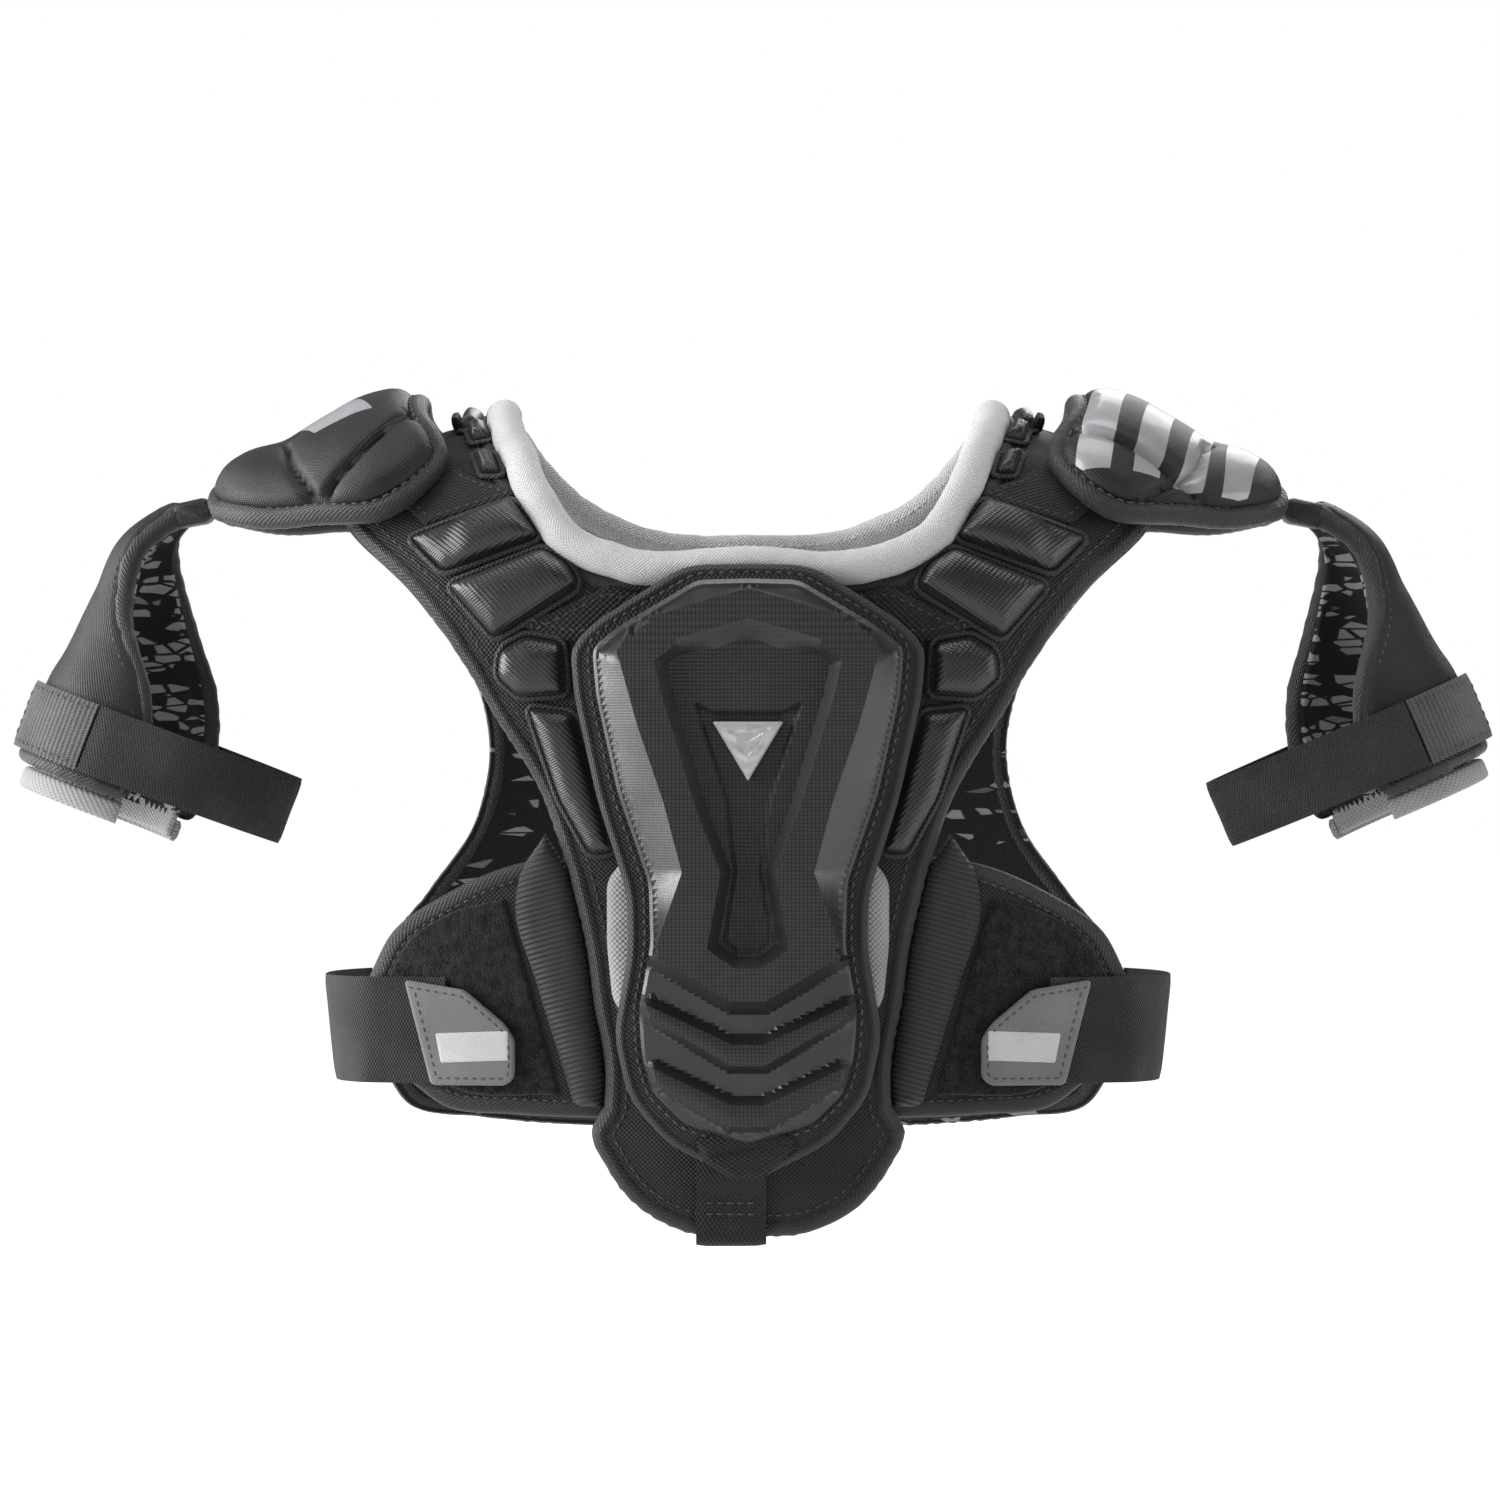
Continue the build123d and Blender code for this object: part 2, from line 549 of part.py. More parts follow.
def arm_pieces():
    """Every piece of a right-hand arm guard, along its own axis from the hinge at the origin."""
    radius, pad_end = ARM_STATIONS[-1][2], ARM_STATIONS[-1][0]
    middle = -ARM_STATIONS[-1][1]
    lining_low = ARM_PAD_THICK + LAYER_GAP
    lining_high = lining_low + ARM_LINING_THICK
    flap_end = pad_end + ARM_FLAP_DROP
    top = (ARM_TOP, 0.5, lining_high + ARM_HINGE_RADIUS - 2, *ARM_STATIONS[0][3:])
    stations = (top, *ARM_STATIONS, (flap_end, *ARM_STATIONS[-1][1:]))
    hinge = Rotation(90, 0, 0) * Cylinder(ARM_HINGE_RADIUS, 2 * ARM_HINGE_HALF)
    lining = gutter(stations, lining_low, lining_high) & between(0, flap_end - 1)
    pad = gutter(stations, 0, ARM_PAD_THICK) & between(ARM_STATIONS[0][0], pad_end)
    flap = gutter(stations, ARM_PAD_THICK - ARM_FLAP_THICK, ARM_PAD_THICK)

    strap_top, strap_low = STRAP_WIDTH / 2 - STRAP_S, -STRAP_WIDTH / 2 - STRAP_S
    patch_out = radius + LAYER_GAP + LOOP_THICK
    seat = radius + STRAP_EASE + WEB_THICK / 2
    band = patch_out + LAYER_GAP + WEB_THICK / 2
    start = TAB_SEAM_ANGLE + TAB_SEAM_GAP
    turns = ((start, band), (start + 6, band), (start + 18, seat))
    wrap = [around(angle, r, strap_low) for angle, r in turns]
    tip = middle + STRAP_REACH
    turn = [(tip - 24, -27), (tip - 7, -14), (tip, -3), (tip - 7, 9), (tip - 22, 19)]
    turn = [Vector(x, y, strap_low) for x, y in turn]
    back = [around(-angle, seat, strap_low) for angle in (132, 112, 92)]
    strap = strip_face(wrap + turn + back, WEB_THICK, Vector(0, 0, 1))
    offset = ARM_STATIONS[-1][1]
    outside = band + WEB_THICK / 2
    ends = (-strap_top, -strap_low)
    tab = [(s, offset, outside, TAB_SEAM_ANGLE - TAB_SEAM_GAP / 2, -ARM_TAB_START) for s in ends]
    patch = [(s, offset, patch_out, start + 6, 4 - ARM_TAB_START) for s in (1 - strap_top, -1 - strap_low)]
    return {
        "arm_pad": pad,
        "arm_lining": lining + hinge,
        "arm_flap": flap & between(pad_end + SEAM_GAP, flap_end),
        "arm_strap": extrude(strap, amount=STRAP_WIDTH, dir=(0, 0, 1)),
        "arm_tab": gutter(tab, 0, WEB_THICK),
        "arm_patch": gutter(patch, 0, LOOP_THICK),
    }


def make_arms():
    for name, piece in arm_pieces().items():
        x, z = ARM_HINGE
        save("right_" + name, Location((-x, 0, z), (0, ARM_LEAN, 0)) * piece)
        save("left_" + name, mirror_x(Location((-x, 0, z), (0, ARM_LEAN + LEFT_ARM_EXTRA_LEAN, 0)) * piece))


os.makedirs("parts", exist_ok=True)
make_vest()
make_ribs()
make_guard()
make_belts()
make_caps()
make_arms()
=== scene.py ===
"""Looks of a set of youth shoulder pads for ice sports, fitted round their solid model.

Shapes are worked out in millimetres on the same torso form as the solid model, and turned into metres
when a mesh is made. The wearer faces -Y, and the wearer's right side is -X. Pieces of the right side are
drawn once and mirrored for the left, and pieces of the back are drawn as if in front and then mirrored.
"""

import math

import bpy
import numpy as np
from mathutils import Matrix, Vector
from mathutils.geometry import delaunay_2d_cdt


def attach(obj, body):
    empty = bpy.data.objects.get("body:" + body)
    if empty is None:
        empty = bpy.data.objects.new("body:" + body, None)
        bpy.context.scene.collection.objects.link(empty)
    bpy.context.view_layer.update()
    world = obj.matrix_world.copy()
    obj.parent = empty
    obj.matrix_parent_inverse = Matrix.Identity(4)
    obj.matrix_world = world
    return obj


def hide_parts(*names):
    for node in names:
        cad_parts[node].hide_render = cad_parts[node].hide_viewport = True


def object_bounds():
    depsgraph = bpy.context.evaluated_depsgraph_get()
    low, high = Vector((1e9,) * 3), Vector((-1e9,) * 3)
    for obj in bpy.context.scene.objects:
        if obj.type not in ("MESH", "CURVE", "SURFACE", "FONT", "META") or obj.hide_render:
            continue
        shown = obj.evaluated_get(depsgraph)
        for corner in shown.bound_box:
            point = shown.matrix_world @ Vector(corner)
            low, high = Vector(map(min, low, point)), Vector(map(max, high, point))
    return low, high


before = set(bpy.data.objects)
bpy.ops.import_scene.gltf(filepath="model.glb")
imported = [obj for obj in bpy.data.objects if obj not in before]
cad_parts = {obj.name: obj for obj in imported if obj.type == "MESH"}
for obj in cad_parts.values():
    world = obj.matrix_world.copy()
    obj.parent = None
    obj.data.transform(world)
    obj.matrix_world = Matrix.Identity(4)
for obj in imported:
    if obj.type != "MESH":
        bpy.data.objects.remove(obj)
CAD_BOX = [list(corner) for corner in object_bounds()]
MM = 0.001

# Torso form, as in the solid model, in millimetres
CHEST_HALF_DEPTH = 72.0
CHEST_HALF_WIDTH = 178.0
FORM_POWER = 2.3
SPRING_Z = -75.0
SHOULDER_DROP = 0.0015
SEAT_X = 105.0
TUCK_START_Z = -130.0
TUCK_END_Z = -286.0
TUCK_DEPTH = 9.0
ARCH_LENGTH = 128.0  # unrolled length from the crest to the spring line

# Lifts of the layers off the form
WING_TOP = 4.5
LOOP_LIFT = 4.8
BELT_LIFT = 6.3
BELT_TAB_LIFT = 8.2
PANEL_LIFT = 4.8
PANEL_TOP = 10.8
RIB_LIFT = 11.1
RIB_TOP = 17.5
GUARD_LIFT = 17.8
GUARD_TOP = 21.8
RIM_LIFT = 22.1
RIM_THICK = 2.6
FRAME_RISE = 9.0
CHEVRON_RISE = 6.0
FLOOR_RISE = 2.4
WALL_DRAFT = 28.0  # degrees that the moulded walls lean from upright
WEB_THICK = 1.6


# ---- torso form -------------------------------------------------------------------------------
def leg_depth(x, z, lift):
    """How far the form reaches forward below the spring line, at a lift off it."""
    across = np.clip(1 - (np.abs(x) / (CHEST_HALF_WIDTH + lift)) ** FORM_POWER, 1e-4, 1)
    share = np.clip((TUCK_START_Z - z) / (TUCK_START_Z - TUCK_END_Z), 0, None)
    return (CHEST_HALF_DEPTH + lift) * across ** (1 / FORM_POWER) - TUCK_DEPTH * share**2


def crest_z(x, lift):
    """Height of the form's ridge over the shoulders."""
    return SHOULDER_DROP * (SEAT_X**2 - x * x) - PANEL_LIFT + lift


def on_vest(flat, lift):
    """Points of the form's front half from (x, distance down from the crest)."""
    x, down = flat[:, 0], flat[:, 1]
    turn = np.clip(1 - down / ARCH_LENGTH, 0, 1) * math.pi / 2
    rise = crest_z(x, lift) - SPRING_Z
    z = SPRING_Z + rise * np.sin(turn) ** (2 / FORM_POWER)
    z = np.where(down > ARCH_LENGTH, SPRING_Z - (down - ARCH_LENGTH), z)
    arch_y = leg_depth(x, np.full_like(x, SPRING_Z), lift) * np.cos(turn) ** (2 / FORM_POWER)
    y = np.where(down > ARCH_LENGTH, leg_depth(x, z, lift), arch_y)
    return np.stack([x, -y, z], axis=1)


def unroll(points, lift=PANEL_TOP):
    """(x, z) in the front view to (x, distance down from the crest)."""
    points = np.asarray(points, float)
    x, z = points[:, 0], points[:, 1]
    share = np.clip((z - SPRING_Z) / (crest_z(x, lift) - SPRING_Z), 0, 1)
    turn = np.arcsin(share ** (FORM_POWER / 2))
    down = np.where(z > SPRING_Z, ARCH_LENGTH * (1 - turn * 2 / math.pi), ARCH_LENGTH + SPRING_Z - z)
    return np.stack([x, down], axis=1)


# ---- shoulder caps and arm guards -------------------------------------------------------------
# Distance from the mid plane, crest height and half depth of each rib of a cap's dome
CAP_RIBS = np.array(
    [
        (106, 19.5, 67), (125, 22.0, 71), (138, 18.5, 68), (150, 11.5, 63), (165, 2.5, 55), (181, -2.0, 44),
        (190, -8.0, 34), (197, -19.0, 24),
    ]
)  # fmt: skip
CAP_FOOT_Z = -40.0
CAP_POWER = 2.2
CAP_TURN = 100.0  # unrolled length of a quarter turn of the cap's arch
CAP_DEPTH = 11.8  # from the outside of a cap to its inside
CAP_PAD = 8.5

# Distance down the arm axis, offset outwards, radius, front and back reach in degrees
ARM_STATIONS = np.array(
    [
        (0, 0.0, 10.0, 45, 62), (6.5, 1.0, 14.0, 45, 62), (18, 4.6, 18.5, 46, 88), (42, 1.5, 25.0, 60, 124),
        (64, -3.0, 31.5, 92, 148), (78, -4.0, 35.0, 104, 154), (92, -4.0, 36.0, 108, 155),
        (108, -4.0, 36.0, 106, 155), (118, -4.0, 36.0, 106, 155),
    ]
)  # fmt: skip
ARM_HINGE = (199.0, -24.0)
ARM_LEAN = {"right": 20.6, "left": 23.1}
ARM_CENTRE = -4.0
ARM_RADIUS = 36.0


def curve_values(table, at):
    """Smooth values of each column of a table at given values of its first column."""
    key = table[:, 0]
    slope = np.gradient(table, key, axis=0)
    at = np.clip(at, key[0], key[-1])
    index = np.clip(np.searchsorted(key, at, side="right") - 1, 0, len(key) - 2)
    width = key[index + 1] - key[index]
    t = ((at - key[index]) / width)[:, None]
    start, end = table[index], table[index + 1]
    a, b = slope[index] * width[:, None], slope[index + 1] * width[:, None]
    leaving = (2 * t**3 - 3 * t**2 + 1) * start + (t**3 - 2 * t**2 + t) * a
    return leaving + (3 * t**2 - 2 * t**3) * end + (t**3 - t**2) * b


def on_cap(flat, lift):
    """Points of a right-hand cap from (-x, signed distance along its arch), lifted off its outside."""
    ribs = curve_values(CAP_RIBS, flat[:, 0])
    turn = np.clip(flat[:, 1] / CAP_TURN, -1, 1) * math.pi / 2
    up = np.cos(turn) ** (2 / CAP_POWER)
    across = np.abs(np.sin(turn)) ** (2 / CAP_POWER) * np.sign(turn)
    z = CAP_FOOT_Z + (ribs[:, 1] + lift - CAP_FOOT_Z) * up
    return np.stack([-flat[:, 0], -(ribs[:, 2] + lift) * across, z], axis=1)


def unroll_cap(points):
    """(-x, z) of the front view to (-x, distance along the arch)."""
    points = np.asarray(points, float)
    ribs = curve_values(CAP_RIBS, points[:, 0])
    share = np.clip((points[:, 1] - CAP_FOOT_Z) / (ribs[:, 1] - CAP_FOOT_Z), 0, 1)
    return np.stack([points[:, 0], np.arccos(share ** (CAP_POWER / 2)) * 2 / math.pi * CAP_TURN], axis=1)


def on_arm(flat, lift, side="right"):
    """Points of an arm guard from (degrees round it, distance down its axis), lifted off its outside."""
    values = curve_values(ARM_STATIONS, flat[:, 1])
    angle = np.radians(180 + flat[:, 0])
    x = -values[:, 1] + (values[:, 2] + lift) * np.cos(angle)
    y = (values[:, 2] + lift) * np.sin(angle)
    return lean_arm(np.stack([x, y, -flat[:, 1]], axis=1), side)


def lean_arm(points, side):
    """From a right-hand arm's own axis to its place; a left one is worked out on the right too."""
    lean = math.radians(ARM_LEAN[side])
    x, y, z = points.T
    return np.stack(
        [
            x * math.cos(lean) + z * math.sin(lean) - ARM_HINGE[0],
            y,
            z * math.cos(lean) - x * math.sin(lean) + ARM_HINGE[1],
        ],
        axis=1,
    )


# ---- curves, outlines and fields --------------------------------------------------------------
def unit(vectors):
    """Vectors scaled to length one."""
    return vectors / np.maximum(np.linalg.norm(vectors, axis=1), 1e-9)[:, None]


def along(path):
    """Distance along a path at each of its points, from its first."""
    return np.concatenate([[0], np.cumsum(np.linalg.norm(np.diff(path, axis=0), axis=1))])


def smooth(points, gap=1.5):
    """Open curve through points, sampled about every gap."""
    points = np.asarray(points, float)
    if len(points) == 2:
        count = max(2, int(np.linalg.norm(points[1] - points[0]) / gap) + 1)
        return points[0] + np.linspace(0, 1, count)[:, None] * (points[1] - points[0])
    key = along(points)
    at = np.linspace(0, key[-1], max(2, int(key[-1] / gap) + 1))
    return curve_values(np.column_stack([key, points]), at)[:, 1:]


def chain(*parts, mirrored=False, gap=1.5):
    """Closed loop from runs: two points make a line, more make a smooth curve."""
    found = np.concatenate([smooth(part, gap)[:-1] for part in parts] + [np.asarray(parts[-1], float)[-1:]])
    if mirrored:
        other = found[::-1] * (-1, 1)
        return np.concatenate([found, other[1:-1]])
    return found[:-1]


def half_loop(points):
    """Straight-sided mirrored loop from one half of it."""
    points = np.asarray(points, float)
    other = [point * (-1, 1) for point in points[::-1] if abs(point[0]) > 1e-6]
    return np.concatenate([points, other]) if other else points


def densify(loop, gap=1.5):
    """Closed loop with points added along its straight sides."""
    closed = np.concatenate([loop, loop[:1]])
    return np.concatenate([smooth(closed[i : i + 2], gap)[:-1] for i in range(len(loop))])


def round_corners(loop, reach):
    """Closed loop with its corners cut by short curves."""
    before, after = np.roll(loop, 1, axis=0), np.roll(loop, -1, axis=0)
    rounded = []
    for previous, corner, following in zip(before, loop, after):
        inward, outward = previous - corner, following - corner
        a = corner + inward * min(0.45, reach / np.linalg.norm(inward))
        b = corner + outward * min(0.45, reach / np.linalg.norm(outward))
        for t in np.linspace(0, 1, 6):
            rounded.append((1 - t) ** 2 * a + 2 * t * (1 - t) * corner + t**2 * b)
    return np.array(rounded)


def edge_distance(points, loop, closed=True):
    """Distance from each point to a loop, or to an open line."""
    start = loop if closed else loop[:-1]
    run = (np.roll(loop, -1, axis=0) if closed else loop[1:]) - start
    length = np.maximum((run**2).sum(axis=1), 1e-12)
    best = np.full(len(points), 1e9)
    for first in range(0, len(start), 64):
        s, r, n = start[first : first + 64], run[first : first + 64], length[first : first + 64]
        rel = points[:, None, :] - s[None]
        t = np.clip((rel * r).sum(axis=2) / n, 0, 1)
        best = np.minimum(best, np.linalg.norm(rel - t[..., None] * r, axis=2).min(axis=1))
    return best


def inside(points, loop):
    """Which points lie inside a loop."""
    x, y = points.T
    result = np.zeros(len(points), bool)
    for a, b in zip(loop, np.roll(loop, -1, axis=0)):
        if a[1] == b[1]:
            continue
        crosses = (a[1] > y) != (b[1] > y)
        result ^= crosses & (x < (b[0] - a[0]) * (y - a[1]) / (b[1] - a[1]) + a[0])
    return result


def signed(points, loop):
    """Distance to a loop, positive inside."""
    return np.where(inside(points, loop), 1, -1) * edge_distance(points, loop)


def ease(value):
    """Smooth step from 0 to 1."""
    t = np.clip(value, 0, 1)
    return t * t * (3 - 2 * t)


def ripple(points, size, seed, octaves=3):
    """Soft seeded noise between about -1 and 1, with hollows about size apart."""
    rng = np.random.default_rng(seed)
    total = np.zeros(len(points))
    for octave in range(octaves):
        for _ in range(5):
            heading, phase = rng.uniform(0, 2 * math.pi, 2)
            way = np.array([math.cos(heading), math.sin(heading)])
            turn = points @ way * 2 ** (octave + 1) * math.pi / size / 1.3
            total += np.sin(turn * rng.uniform(0.7, 1.2) + phase) / 2**octave
    return total / 5


# ---- meshes -----------------------------------------------------------------------------------
def offset_loop(loop, distance):
    """Closed loop moved outwards by a distance, with mitred corners."""
    longest_mitre = 2.5
    before, after = loop - np.roll(loop, 1, axis=0), np.roll(loop, -1, axis=0) - loop
    normals = [np.stack([way[:, 1], -way[:, 0]], axis=1) for way in (unit(before), unit(after))]
    middle = unit(normals[0] + normals[1])
    stretch = 1 / np.clip((middle * normals[0]).sum(axis=1), 1 / longest_mitre, 1)
    x, y = loop.T
    turn = np.sum(x * np.roll(y, -1) - y * np.roll(x, -1))
    return loop + middle * (stretch * distance * np.sign(turn))[:, None]


def fill(loop, step, lines=()):
    """Triangles over a closed loop, fine near its edge: points, faces, and distance from the edge.

    The edges of the extra lines, which are closed loops of their own, are kept as creases.
    """
    rings = (0.5, 1.2, 2.2, 3.4)
    tangent = unit(np.roll(loop, -1, axis=0) - np.roll(loop, 1, axis=0))
    normal = np.stack([-tangent[:, 1], tangent[:, 0]], axis=1)
    if not inside(loop[:1] + normal[:1] * 0.2, loop)[0]:
        normal = -normal
    loose = []
    for ring in rings:
        spots = loop + normal * ring
        near = edge_distance(spots, loop)
        loose.append(spots[inside(spots, loop) & (near > ring * 0.9)][:: 1 if ring < 2 else 2])
    low, high = loop.min(axis=0), loop.max(axis=0)
    rows = np.arange(low[1], high[1], step * 0.866)
    grid = []
    for row, y in enumerate(rows):
        shift = step / 2 if row % 2 else 0
        grid += [(x + shift, y) for x in np.arange(low[0], high[0], step)]
    grid = np.array(grid)
    grid = grid[inside(grid, loop)]
    loose.append(grid[edge_distance(grid, loop) > rings[-1] + step * 0.45])
    loose = np.concatenate(loose)
    for line in lines:
        loose = loose[edge_distance(loose, line) > min(0.7, step * 0.35)]
    points, edges = np.zeros((0, 2)), []
    for fixed in (loop, *lines):
        first, count = len(points), len(fixed)
        points = np.concatenate([points, fixed])
        edges += [(first + i, first + (i + 1) % count) for i in range(count)]
    points = np.concatenate([points, loose])
    found = delaunay_2d_cdt([tuple(p) for p in points], edges, [], 1, 1e-4)
    flat = np.array([tuple(p) for p in found[0]])
    faces = np.array([face for face in found[2] if len(face) == 3])
    a, b, c = flat[faces[:, 0]], flat[faces[:, 1]], flat[faces[:, 2]]
    area = (b[:, 0] - a[:, 0]) * (c[:, 1] - a[:, 1]) - (b[:, 1] - a[:, 1]) * (c[:, 0] - a[:, 0])
    whole = np.abs(area) > 1e-7
    faces, area = faces[whole], area[whole]
    faces[area < 0] = faces[area < 0][:, ::-1]
    return flat, faces, edge_distance(flat, loop)


def make_object(name, points, faces, uv=None, material=None, flip=(1, 1), sharp=40):
    """Mesh object from millimetre points, mirrored by the signs in flip for x and y."""
    points = np.asarray(points) * (flip[0], flip[1], 1) * MM
    if flip[0] * flip[1] < 0:
        faces = [tuple(reversed(face)) for face in faces]
    mesh = bpy.data.meshes.new(name)
    mesh.from_pydata([tuple(p) for p in points], [], [tuple(int(i) for i in face) for face in faces])
    if uv is not None:
        layer = mesh.uv_layers.new(name="cloth")
        index = np.empty(len(mesh.loops), int)
        mesh.loops.foreach_get("vertex_index", index)
        layer.data.foreach_set("uv", (np.asarray(uv)[index] * MM).astype("f").ravel())
    mesh.validate()
    mesh.shade_smooth()
    mesh.set_sharp_from_angle(angle=math.radians(sharp))
    made = bpy.data.objects.new(name, mesh)
    bpy.context.scene.collection.objects.link(made)
    if material:
        mesh.materials.append(material)
    return made


def surface_normals(surface, flat, lift):
    """Outward directions of a surface, from small steps across and down its flat pattern."""
    step = 0.4
    across = surface(flat + (step, 0), lift) - surface(flat - (step, 0), lift)
    down = surface(flat + (0, step), lift) - surface(flat - (0, step), lift)
    return unit(np.cross(down, across))


def pad(
    name, loop, surface, low, height, material, step=3.0, flip=(1, 1), sharp=50, outward=1,
    lines=(), regions=(),
):  # fmt: skip
    """Closed pad on a surface: flat behind, with a height over it that depends on place and edge distance.

    Regions are (closed loop, material) pairs that take the face inside that loop.
    """
    flat, faces, edge = fill(loop, step, lines=(*lines, *[region for region, _ in regions]))
    base = surface(flat, low)
    normal = surface_normals(surface, flat, low) * outward
    top = base + normal * height(flat, edge)[:, None]
    count = len(flat)
    probe = np.cross(top[faces[:, 1]] - top[faces[:, 0]], top[faces[:, 2]] - top[faces[:, 0]])
    upright = (probe * normal[faces[:, 0]]).sum(axis=1).mean() > 0
    front = faces if upright else faces[:, ::-1]
    every = [tuple(face) for face in front] + [tuple(face[::-1] + count) for face in front]
    edges = set()
    for face in front:
        for a, b in zip(face, np.roll(face, -1)):
            edges.add((int(a), int(b)))
    open_edges = [(a, b) for a, b in edges if (b, a) not in edges]
    every += [(b, a, a + count, b + count) for a, b in sorted(open_edges)]
    uv = np.concatenate([flat, flat])
    made = make_object(name, np.concatenate([top, base]), every, uv, material, flip, sharp)
    middles = flat[front].mean(axis=1)
    for index, (region, finish) in enumerate(regions, start=1):
        made.data.materials.append(finish)
        for face in np.nonzero(inside(middles, region))[0]:
            made.data.polygons[int(face)].material_index = index
    return made


def grid_faces(rows, columns, wrap=False):
    """Quads over a grid of points in row order; wrap joins the last column to the first."""
    faces = []
    for row in range(rows - 1):
        for column in range(columns - (0 if wrap else 1)):
            a, b = row * columns + column, row * columns + (column + 1) % columns
            faces.append((a, b, b + columns, a + columns))
    return faces


def frames_along(path, facing):
    """Unit tangent, facing direction squared to it, and the direction across both."""
    path = np.asarray(path, float)
    tangent = unit(np.gradient(path, axis=0))
    facing = np.broadcast_to(facing, path.shape)
    facing = unit(facing - (facing * tangent).sum(axis=1)[:, None] * tangent)
    return tangent, facing, np.cross(tangent, facing)


def sweep(name, path, facing, section, material, closed=False, flip=(1, 1), swell=None):
    """Closed section of (across, out) points carried along a path; swell scales it from point to point."""
    path = np.asarray(path, float)
    if closed:
        path = np.concatenate([path[-1:], path, path[:1]])
        facing = np.concatenate([facing[-1:], facing, facing[:1]])
    _, out, across = frames_along(path, facing)
    if closed:
        path, out, across = path[1:-1], out[1:-1], across[1:-1]
    section = np.asarray(section, float)
    swell = np.ones(len(path)) if swell is None else swell
    points = path[:, None] + swell[:, None, None] * (
        across[:, None] * section[None, :, :1] + out[:, None] * section[None, :, 1:]
    )
    columns = len(section)
    faces = grid_faces(len(path), columns, wrap=True)
    if closed:
        last = (len(path) - 1) * columns
        faces += [(last + i, last + (i + 1) % columns, (i + 1) % columns, i) for i in range(columns)]
    else:
        faces += [tuple(range(columns))[::-1], tuple(range((len(path) - 1) * columns, len(path) * columns))]
    run = along(path)
    girth = along(section)
    uv = np.stack([np.repeat(run, columns), np.tile(girth, len(path))], axis=1)
    return make_object(name, points.reshape(-1, 3), [f[::-1] for f in faces], uv, material, flip, 50)


def ellipse(width, height, count=14):
    """Section of a round or flattened cord."""
    turns = np.linspace(0, 2 * math.pi, count, endpoint=False)
    return np.stack([np.cos(turns) * width / 2, np.sin(turns) * height / 2], axis=1)


def soft_bar(width, thick, round_off=0.35, count=5):
    """Flat band section with rounded edges, standing on its own base line."""
    reach = min(thick * round_off, width / 2)
    corners = [(width / 2 - reach, reach, -90), (width / 2 - reach, thick - reach, 0),
               (reach - width / 2, thick - reach, 90), (reach - width / 2, reach, 180)]  # fmt: skip
    section = []
    for x, y, first in corners:
        for turn in np.radians(np.linspace(first, first + 90, count)):
            section.append((x + reach * math.cos(turn), y + reach * math.sin(turn)))
    return np.array(section)


def stitches(name, path, facing, material, length=2.4, gap=3.6, thick=0.55, flip=(1, 1), closed=False):
    """Row of separate thread dashes that bed into the cloth at both ends."""
    path = np.asarray(path, float)
    if closed:
        path, facing = np.concatenate([path, path[:1]]), np.concatenate([facing, facing[:1]])
    _, out, across = frames_along(path, facing)
    run = along(path)
    points, faces = [], []
    ring = ellipse(thick * 1.15, thick, 6)
    for start in np.arange(gap / 2, run[-1] - length, gap):
        base = len(points)
        for share, size, sink in ((0, 0.35, -0.3), (0.25, 1, 0.05), (0.75, 1, 0.05), (1, 0.35, -0.3)):
            at = start + share * length
            centre, up, side = (
                np.array([np.interp(at, run, values[:, i]) for i in range(3)])
                for values in (path, out, across)
            )
            points += [centre + up * (sink + y * size) + side * x * size for x, y in ring]
        faces += [tuple(base + i for i in face)[::-1] for face in grid_faces(4, 6, wrap=True)]
    return make_object(name, np.array(points), faces, None, material, flip, 60)


def path_on(surface, flat, lift):
    """Points and facing directions of a line drawn on a surface."""
    return surface(flat, lift), surface_normals(surface, flat, lift)


def binding(name, loop, surface, low, top, width, material, flip=(1, 1)):
    """Folded tape round the edge of a pad: a soft flattened roll that wraps from its face to its back."""
    path, normal = path_on(surface, loop, (low + top) / 2)
    thick = top - low + 1.2
    section = soft_bar(width, thick, 0.5, 5) - (0, thick / 2)
    return sweep(name, path, normal, section, material, True, flip)


# ---- materials --------------------------------------------------------------------------------
def group_tree(name, inputs, outputs):
    """Empty node group with number sockets: its tree, its input node and its output node."""
    tree = bpy.data.node_groups.new(name, "ShaderNodeTree")
    for label, value in inputs.items():
        socket = tree.interface.new_socket(label, in_out="INPUT", socket_type="NodeSocketFloat")
        socket.default_value = value
    for label in outputs:
        tree.interface.new_socket(label, in_out="OUTPUT", socket_type="NodeSocketFloat")
    return tree, tree.nodes.new("NodeGroupInput"), tree.nodes.new("NodeGroupOutput")


def maths(tree, operation, a, b=None):
    """Math node on sockets or numbers; returns its result socket."""
    node = tree.nodes.new("ShaderNodeMath")
    node.operation = operation
    for index, value in enumerate((a, b)):
        if value is None:
            continue
        if isinstance(value, (int, float)):
            node.inputs[index].default_value = value
        else:
            tree.links.new(value, node.inputs[index])
    return node.outputs[0]


def cloth_place(tree, name="UV"):
    """Socket that tells where a point lies: along its own cloth, or in its piece's own space."""
    return tree.nodes.new("ShaderNodeTexCoord").outputs[name]


def split_xy(tree, vector):
    """Sockets of a vector's single numbers."""
    node = tree.nodes.new("ShaderNodeSeparateXYZ")
    tree.links.new(vector, node.inputs[0])
    return node.outputs


def wave(tree, value, per_metre):
    """Sine of a length, with so many turns to the metre."""
    turns = maths(tree, "MULTIPLY", value, per_metre)
    return maths(tree, "SINE", maths(tree, "MULTIPLY", turns, math.tau))


